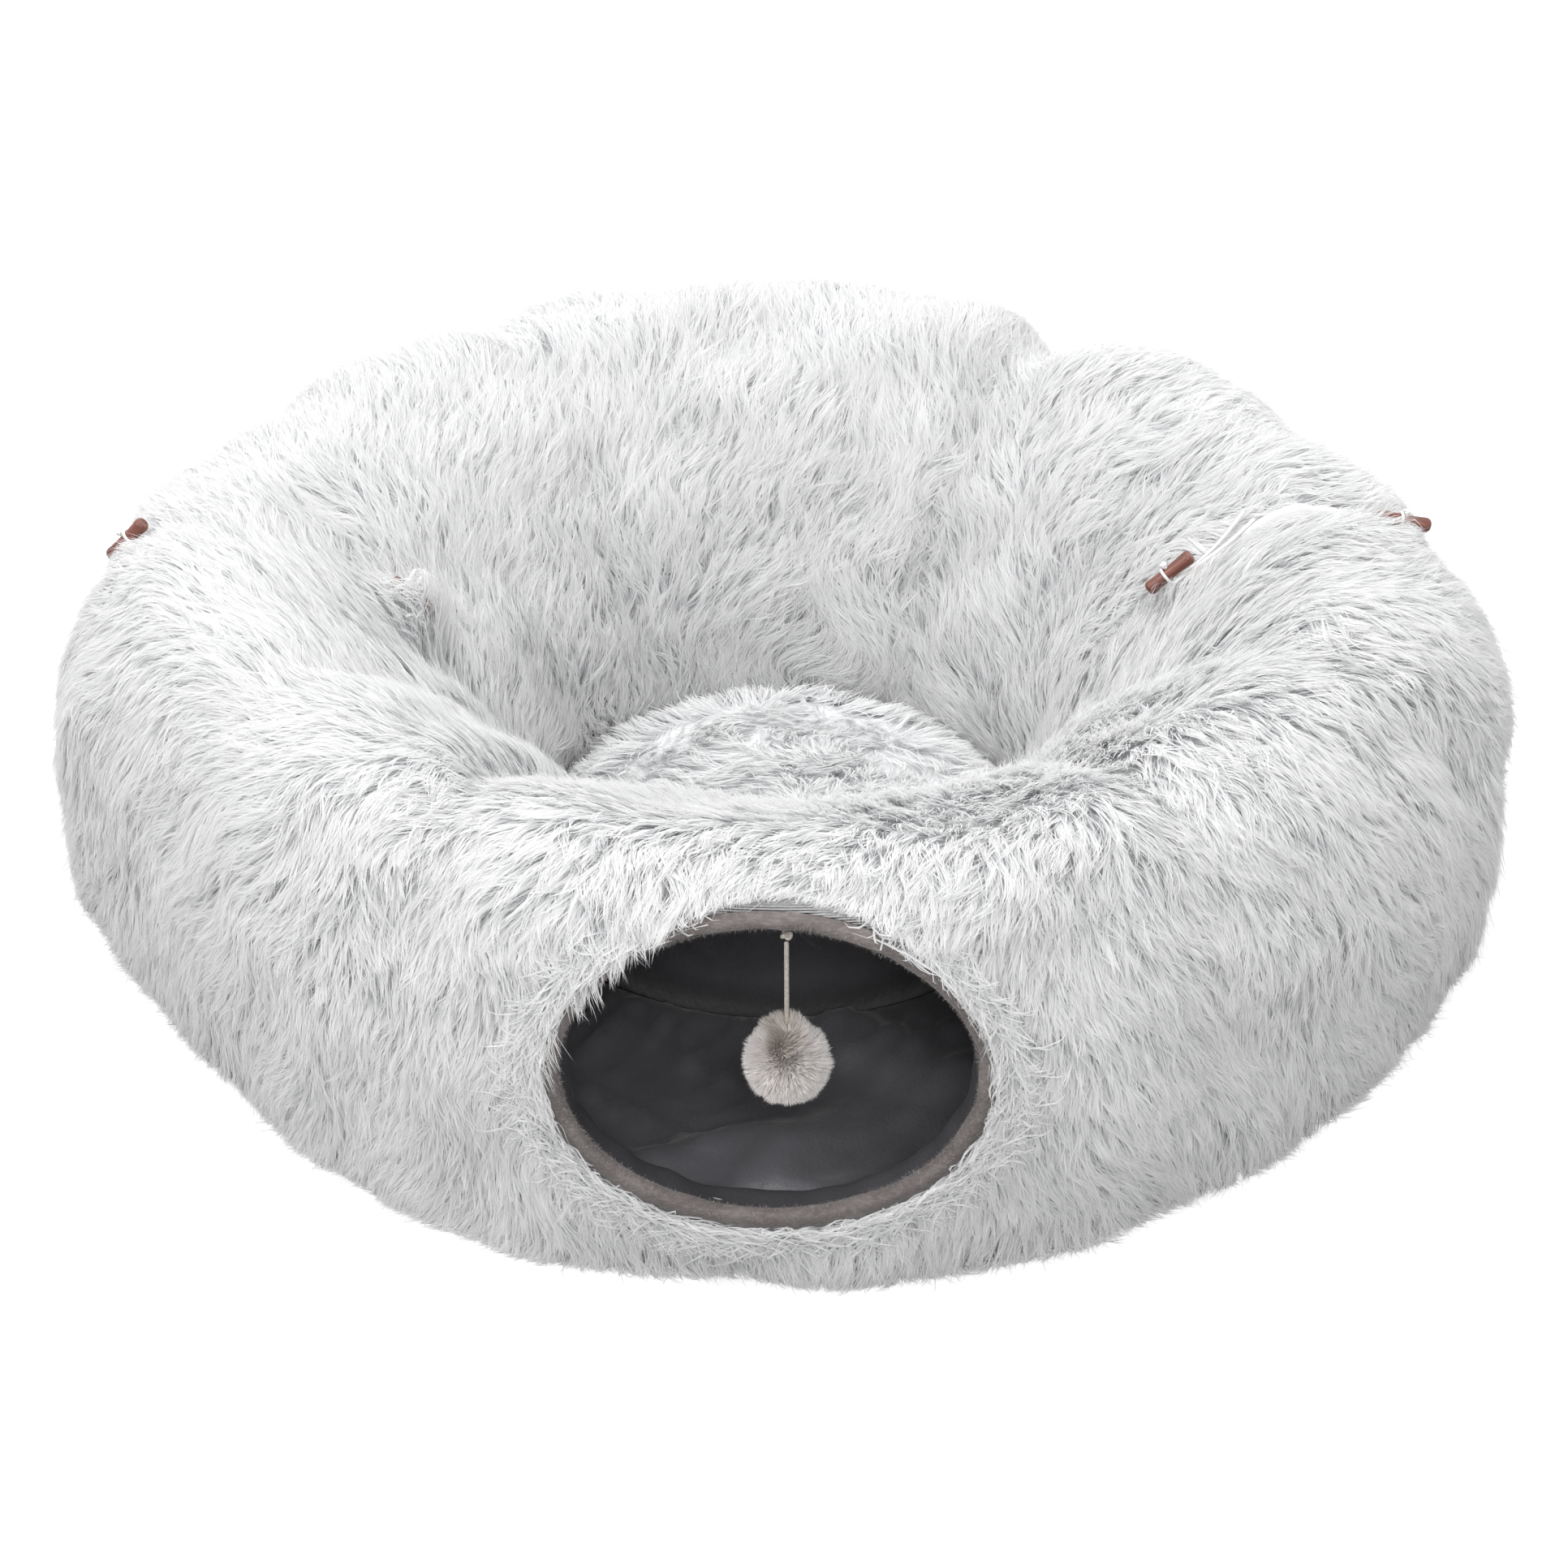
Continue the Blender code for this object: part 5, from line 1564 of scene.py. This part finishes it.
class Nodes(Tree):
    """A material and its nodes."""

    def __init__(self, name, roughness, specular, sheen=0.0):
        self.material = bpy.data.materials.new(name)
        self.material.use_nodes = True
        super().__init__(self.material.node_tree)
        self.shader = self.tree.nodes["Principled BSDF"]
        self.shader.inputs["Roughness"].default_value = roughness
        self.shader.inputs["Specular IOR Level"].default_value = specular
        self.shader.inputs["Sheen Weight"].default_value = sheen
        self.shader.inputs["Sheen Roughness"].default_value = 0.4

    def place(self, scale=(1.0, 1.0, 1.0)):
        """The object's own coordinates, in metres."""
        mapping = self.add("ShaderNodeMapping", Scale=scale)
        where = self.add("ShaderNodeTexCoord")
        self.link(where.outputs["Object"], mapping.inputs["Vector"])
        return mapping.outputs[0]

    def noise(self, size, detail, stretch=(1.0, 1.0, 1.0)):
        """Noise with features of about this size."""
        node = self.add("ShaderNodeTexNoise", Scale=0.5 / size, Detail=detail, Roughness=0.55)
        self.link(self.place(stretch), node.inputs["Vector"])
        return node.outputs["Fac"]

    def threads(self, size, direction):
        """Even threads across a direction, X, Y, Z or DIAGONAL."""
        node = self.add("ShaderNodeTexWave", Scale=0.314 / size, Distortion=0.6, Detail=1.0)
        node.bands_direction = direction
        self.link(self.place(), node.inputs["Vector"])
        return node.outputs["Fac"]

    def sum(self, first, second, weight=1.0):
        """The first plus the weighted second."""
        node = self.add("ShaderNodeMath", operation="MULTIPLY_ADD")
        self.link(second, node.inputs[0])
        node.inputs[1].default_value = weight
        self.link(first, node.inputs[2])
        return node.outputs[0]

    def ramp(self, source, *stops):
        """Colours at places from 0 to 1 of a value."""
        node = self.add("ShaderNodeValToRGB")
        elements = node.color_ramp.elements
        while len(elements) < len(stops):
            elements.new(0.5)
        for element, (place, colour) in zip(elements, stops):
            element.position = place
            element.color = (*colour, 1.0)
        self.link(source, node.inputs[0])
        return node.outputs[0]

    def mix(self, first, second, factor=1.0, blend="MULTIPLY"):
        """Two colours mixed by a number or by a value."""
        node = self.add("ShaderNodeMix", data_type="RGBA", blend_type=blend)
        if hasattr(factor, "links"):
            self.link(factor, node.inputs[0])
        else:
            node.inputs[0].default_value = factor
        self.link(first, node.inputs[6])
        self.link(second, node.inputs[7])
        return node.outputs[2]

    def translucent(self, source, share):
        """Lets part of the light through from behind."""
        through = self.add("ShaderNodeBsdfTranslucent")
        self.link(source, through.inputs["Color"])
        both = self.add("ShaderNodeMixShader", Fac=share)
        self.link(self.shader.outputs[0], both.inputs[1])
        self.link(through.outputs[0], both.inputs[2])
        self.link(both.outputs[0], self.tree.nodes["Material Output"].inputs[0])

    def colour(self, source):
        self.link(source, self.shader.inputs["Base Color"])

    def roughness(self, source, low, high):
        """A roughness that runs from low to high with a value."""
        node = self.add("ShaderNodeMapRange", **{"To Min": low, "To Max": high})
        self.link(source, node.inputs["Value"])
        self.link(node.outputs[0], self.shader.inputs["Roughness"])

    def bump(self, source, distance):
        """Relief of this height from a value."""
        node = self.add("ShaderNodeBump", Distance=distance, Strength=1.0)
        self.link(source, node.inputs["Height"])
        self.link(node.outputs[0], self.shader.inputs["Normal"])


def grey(value, cool=0.0):
    """A grey, a little bluer by cool."""
    return (value * (1 - cool), value, value * (1 + cool))


def along_strands(m):
    """(tone, distance from the root) of a strand."""
    place = m.add("ShaderNodeUVMap", uv_map="OFBake")
    parts = m.add("ShaderNodeSeparateXYZ")
    m.link(place.outputs[0], parts.inputs[0])
    return parts.outputs[0], parts.outputs[1]


def fur_material(name="long_white_fur"):
    m = Nodes(name, 0.7, 0.25)
    tone, length = along_strands(m)
    # Strands darker and a little bluer toward the root: painted shade deep in the pile, between the
    # clumps
    length = m.ramp(
        length,
        (0.0, grey(0.78, 0.01)), (0.3, grey(0.89, 0.005)), (0.6, grey(0.945)), (1.0, grey(0.965)),
    )
    tone = m.ramp(tone, (0.0, grey(0.88, 0.005)), (0.45, grey(0.98)), (1.0, grey(1.0)))
    both = m.mix(length, tone)
    m.colour(both)
    m.translucent(both, 0.48)
    return m.material


def pompom_material():
    m = Nodes("pompom_fluff", 0.75, 0.2)
    tone, length = along_strands(m)
    pale = m.ramp(
        length, (0.0, (0.76, 0.70, 0.67)), (0.5, (0.91, 0.87, 0.85)), (1.0, (0.97, 0.94, 0.925))
    )
    dark = m.ramp(
        length,
        (0.0, (0.62, 0.55, 0.50)), (0.45, (0.84, 0.79, 0.74)),
        (0.8, (0.66, 0.59, 0.53)), (1.0, (0.88, 0.84, 0.80)),
    )
    m.colour(m.mix(pale, dark, tone, "MIX"))
    return m.material


def felt_fuzz_material():
    m = Nodes("felt_fuzz", 0.9, 0.1)
    tone, _ = along_strands(m)
    m.colour(m.ramp(
        tone, (0.0, (0.17, 0.150, 0.145)), (0.7, (0.30, 0.275, 0.265)), (1.0, (0.60, 0.58, 0.57))
    ))
    return m.material


# Slot, name, roughness, specular, sheen, size, detail and stretch of the noise that its colour
# follows, and the colours at its low and high places
TWO_TONES = (
    ("backing", "fur_backing", 0.95, 0.1, 0.0, (0.004, 4), grey(0.72, 0.01), grey(0.82)),
    ("wadding", "white_wadding", 0.95, 0.1, 0.3, (0.006, 5), grey(0.70), grey(0.86)),
    # The lining's own charcoal, lightened well above it: painted light for the dim light inside the
    # tube
    ("lining", "charcoal_satin", 0.5, 0.6, 0.3, (0.05, 4),
     (0.130, 0.128, 0.142), (0.178, 0.175, 0.192)),
    # The same satin kept darker than the lining: painted shade in the recess behind the felt
    # binding
    ("facing", "charcoal_satin_painted_shade", 0.5, 0.1, 0.05, (0.05, 4),
     (0.042, 0.041, 0.045), (0.062, 0.061, 0.066)),
    ("base", "grey_base_cloth", 0.8, 0.2, 0.0, (0.002, 3), grey(0.075, 0.01), grey(0.11, 0.01)),
    ("tape", "white_satin_tape", 0.45, 0.4, 0.2, (0.006, 3), grey(0.91), grey(0.96)),
    ("steel", "spring_steel", 0.35, 0.5, 0.0, (0.004, 4, (0.4, 0.4, 2.0)),
     grey(0.36), grey(0.52, 0.01)),
    ("cord", "beige_cord", 0.8, 0.2, 0.2, (0.0007, 4), (0.40, 0.355, 0.31), (0.66, 0.61, 0.55)),
    ("loop", "white_cord", 0.8, 0.2, 0.2, (0.0007, 4), (0.72, 0.72, 0.72), (0.90, 0.90, 0.89)),
    # Cream yarn of the pom-pom's heart, painted darker: painted shade deep in the pom-pom
    ("yarn", "shaded_cream_yarn", 0.8, 0.2, 0.2, (0.0007, 4), (0.50, 0.46, 0.42), (0.70, 0.66, 0.62)),
)


def make_materials():
    made = {}
    for slot, name, roughness, specular, sheen, noise, low, high in TWO_TONES:
        m = made[slot] = Nodes(name, roughness, specular, sheen)
        m.colour(m.ramp(m.noise(*noise), (0.3, low), (0.7, high)))

    m = made["backing"]
    m.bump(m.sum(m.threads(0.0011, "Z"), m.noise(0.0015, 2)), 0.0006)
    m = made["wadding"]
    m.bump(m.sum(m.noise(0.008, 4), m.noise(0.0012, 3), 0.4), 0.0018)
    for slot in ("lining", "facing"):
        m = made[slot]
        weave = m.noise(0.0009, 3, (1.0, 1.0, 0.4))
        m.bump(m.sum(weave, m.noise(0.010, 3, (1.0, 0.5, 0.5)), 4.0), 0.0005)
        m.roughness(m.noise(0.03, 3), 0.30, 0.48)
    m = made["base"]
    m.bump(m.sum(m.threads(0.0009, "X"), m.threads(0.0009, "Y")), 0.0005)
    m = made["tape"]
    m.bump(m.sum(m.threads(0.0008, "DIAGONAL"), m.noise(0.003, 2)), 0.0003)
    m = made["steel"]
    m.shader.inputs["Metallic"].default_value = 1.0
    m.roughness(m.noise(0.002, 3), 0.26, 0.46)
    m.bump(m.noise(0.0006, 2, (0.3, 0.3, 2.0)), 0.00006)
    for slot in ("cord", "loop", "yarn"):
        m = made[slot]
        m.bump(m.noise(0.0003, 3), 0.00025)

    m = made["felt"] = Nodes("taupe_felt", 0.95, 0.1, 0.35)
    fibre = m.mix(m.noise(0.0018, 4, (1.0, 1.0, 3.0)), m.noise(0.012, 3), 0.45, "MIX")
    m.colour(m.ramp(
        fibre,
        (0.34, (0.135, 0.118, 0.114)), (0.5, (0.185, 0.164, 0.159)), (0.68, (0.27, 0.245, 0.238)),
    ))
    m.bump(m.noise(0.0009, 4), 0.0006)

    m = made["toggle"] = Nodes("red_brown_wood", 0.35, 0.5)
    m.shader.inputs["Coat Weight"].default_value = 0.35
    m.shader.inputs["Coat Roughness"].default_value = 0.2
    grain = m.noise(0.0016, 5, (1.0, 1.0, 0.12))
    m.colour(m.ramp(
        grain,
        (0.30, (0.070, 0.019, 0.012)), (0.48, (0.155, 0.046, 0.029)), (0.70, (0.26, 0.090, 0.058)),
    ))
    m.roughness(m.noise(0.002, 3), 0.28, 0.45)
    m.bump(grain, 0.00012)
    return {slot: m.material for slot, m in made.items()}


# Stage


def make_camera():
    """The photograph's camera, which stays as it is."""
    data = bpy.data.cameras.new("camera")
    data.sensor_width = SENSOR
    data.lens = FOCAL_PIXELS / PICTURE_SIZE * SENSOR
    data.shift_x = CAMERA_LEFT_PIXELS / PICTURE_SIZE
    data.clip_end = 50
    camera = bpy.data.objects.new("camera", data)
    bpy.context.scene.collection.objects.link(camera)
    angle = math.radians(CAMERA_ELEVATION)
    place = Vector((0, -math.cos(angle), math.sin(angle))) * CAMERA_DISTANCE
    place.z += TARGET_HEIGHT
    look = Matrix.Translation(place) @ Matrix.Rotation(math.pi / 2 - angle, 4, "X")
    camera.matrix_world = look @ Matrix.Rotation(-math.radians(CAMERA_ROLL), 4, "Z")
    bpy.context.scene.camera = camera


def make_light(name, place, size, power):
    """A round soft light that faces the object's middle."""
    data = bpy.data.lights.new(name, "AREA")
    data.shape = "DISK"
    data.size = size
    data.energy = power
    light = bpy.data.objects.new(name, data)
    bpy.context.scene.collection.objects.link(light)
    light.location = place
    light.rotation_euler = (Vector((0, 0, 0.1)) - Vector(place)).to_track_quat("-Z", "Y").to_euler()


def make_world():
    """Soft light on the object, and plain white where the camera, gloss or glass sees the world."""
    world = bpy.data.worlds.new("studio")
    bpy.context.scene.world = world
    world.use_nodes = True
    w = Tree(world.node_tree)
    w.tree.nodes.clear()
    path = w.add("ShaderNodeLightPath")
    seen = path.outputs["Is Camera Ray"]
    for kind in ("Is Glossy Ray", "Is Transmission Ray"):
        either = w.add("ShaderNodeMath", operation="MAXIMUM")
        w.link(seen, either.inputs[0])
        w.link(path.outputs[kind], either.inputs[1])
        seen = either.outputs[0]
    mix = w.add("ShaderNodeMixShader")
    w.link(seen, mix.inputs[0])
    parts = w.add("ShaderNodeSeparateXYZ")
    w.link(w.add("ShaderNodeTexCoord").outputs["Generated"], parts.inputs[0])
    sky = w.add("ShaderNodeMapRange", **{"To Min": SKY_LOW, "To Max": SKY_HIGH})
    w.link(parts.outputs["Z"], sky.inputs["Value"])
    lit, plain = (w.add("ShaderNodeBackground", Color=(1, 1, 1, 1)) for _ in range(2))
    w.link(sky.outputs[0], lit.inputs["Strength"])
    w.link(lit.outputs[0], mix.inputs[1])
    w.link(plain.outputs[0], mix.inputs[2])
    w.link(mix.outputs[0], w.add("ShaderNodeOutputWorld").inputs[0])


def make_floor():
    """A white floor that keeps the object's shadow and adds white only where the camera sees it."""
    bpy.ops.mesh.primitive_plane_add(size=12)
    floor = bpy.context.object
    floor.name = "floor"
    m = Nodes("floor_white", 0.9, 0.0)
    m.shader.inputs["Base Color"].default_value = (*grey(FLOOR_SHADE), 1)
    rays = m.add("ShaderNodeLightPath")
    glow = m.add("ShaderNodeEmission", Strength=1.0, Color=(*grey(FLOOR_GLOW), 1))
    both = m.add("ShaderNodeAddShader")
    m.link(m.shader.outputs[0], both.inputs[0])
    m.link(glow.outputs[0], both.inputs[1])
    choose = m.add("ShaderNodeMixShader")
    m.link(rays.outputs["Is Camera Ray"], choose.inputs[0])
    m.link(m.shader.outputs[0], choose.inputs[1])
    m.link(both.outputs[0], choose.inputs[2])
    m.link(choose.outputs[0], m.tree.nodes["Material Output"].inputs[0])
    floor.data.materials.append(m.material)


def make_stage():
    bpy.context.scene.view_settings.view_transform = "Standard"
    make_world()
    make_floor()
    for light in LIGHTS:
        make_light(*light)


def main():
    make_camera()
    materials = make_materials()
    rng = np.random.default_rng(SEED + 1)
    make_toy(materials, rng)
    toggles = read_toggles()
    surface = RingSurface(rng)
    loop_paths(surface, toggles)
    plan_toggle_fur(toggles)
    make_toggles(toggles, materials)
    pile = make_ring_pile(surface, toggles, fur_material())
    make_halves(materials, rng)
    make_tapes(materials["tape"])
    make_felt(materials["felt"], materials["facing"], rng)
    make_cushion(materials)
    for name, node in frame["nodes"].items():
        if "hoop" in name:
            node.data.materials.clear()
            node.data.materials.append(materials["steel"])
    make_stage()


main()
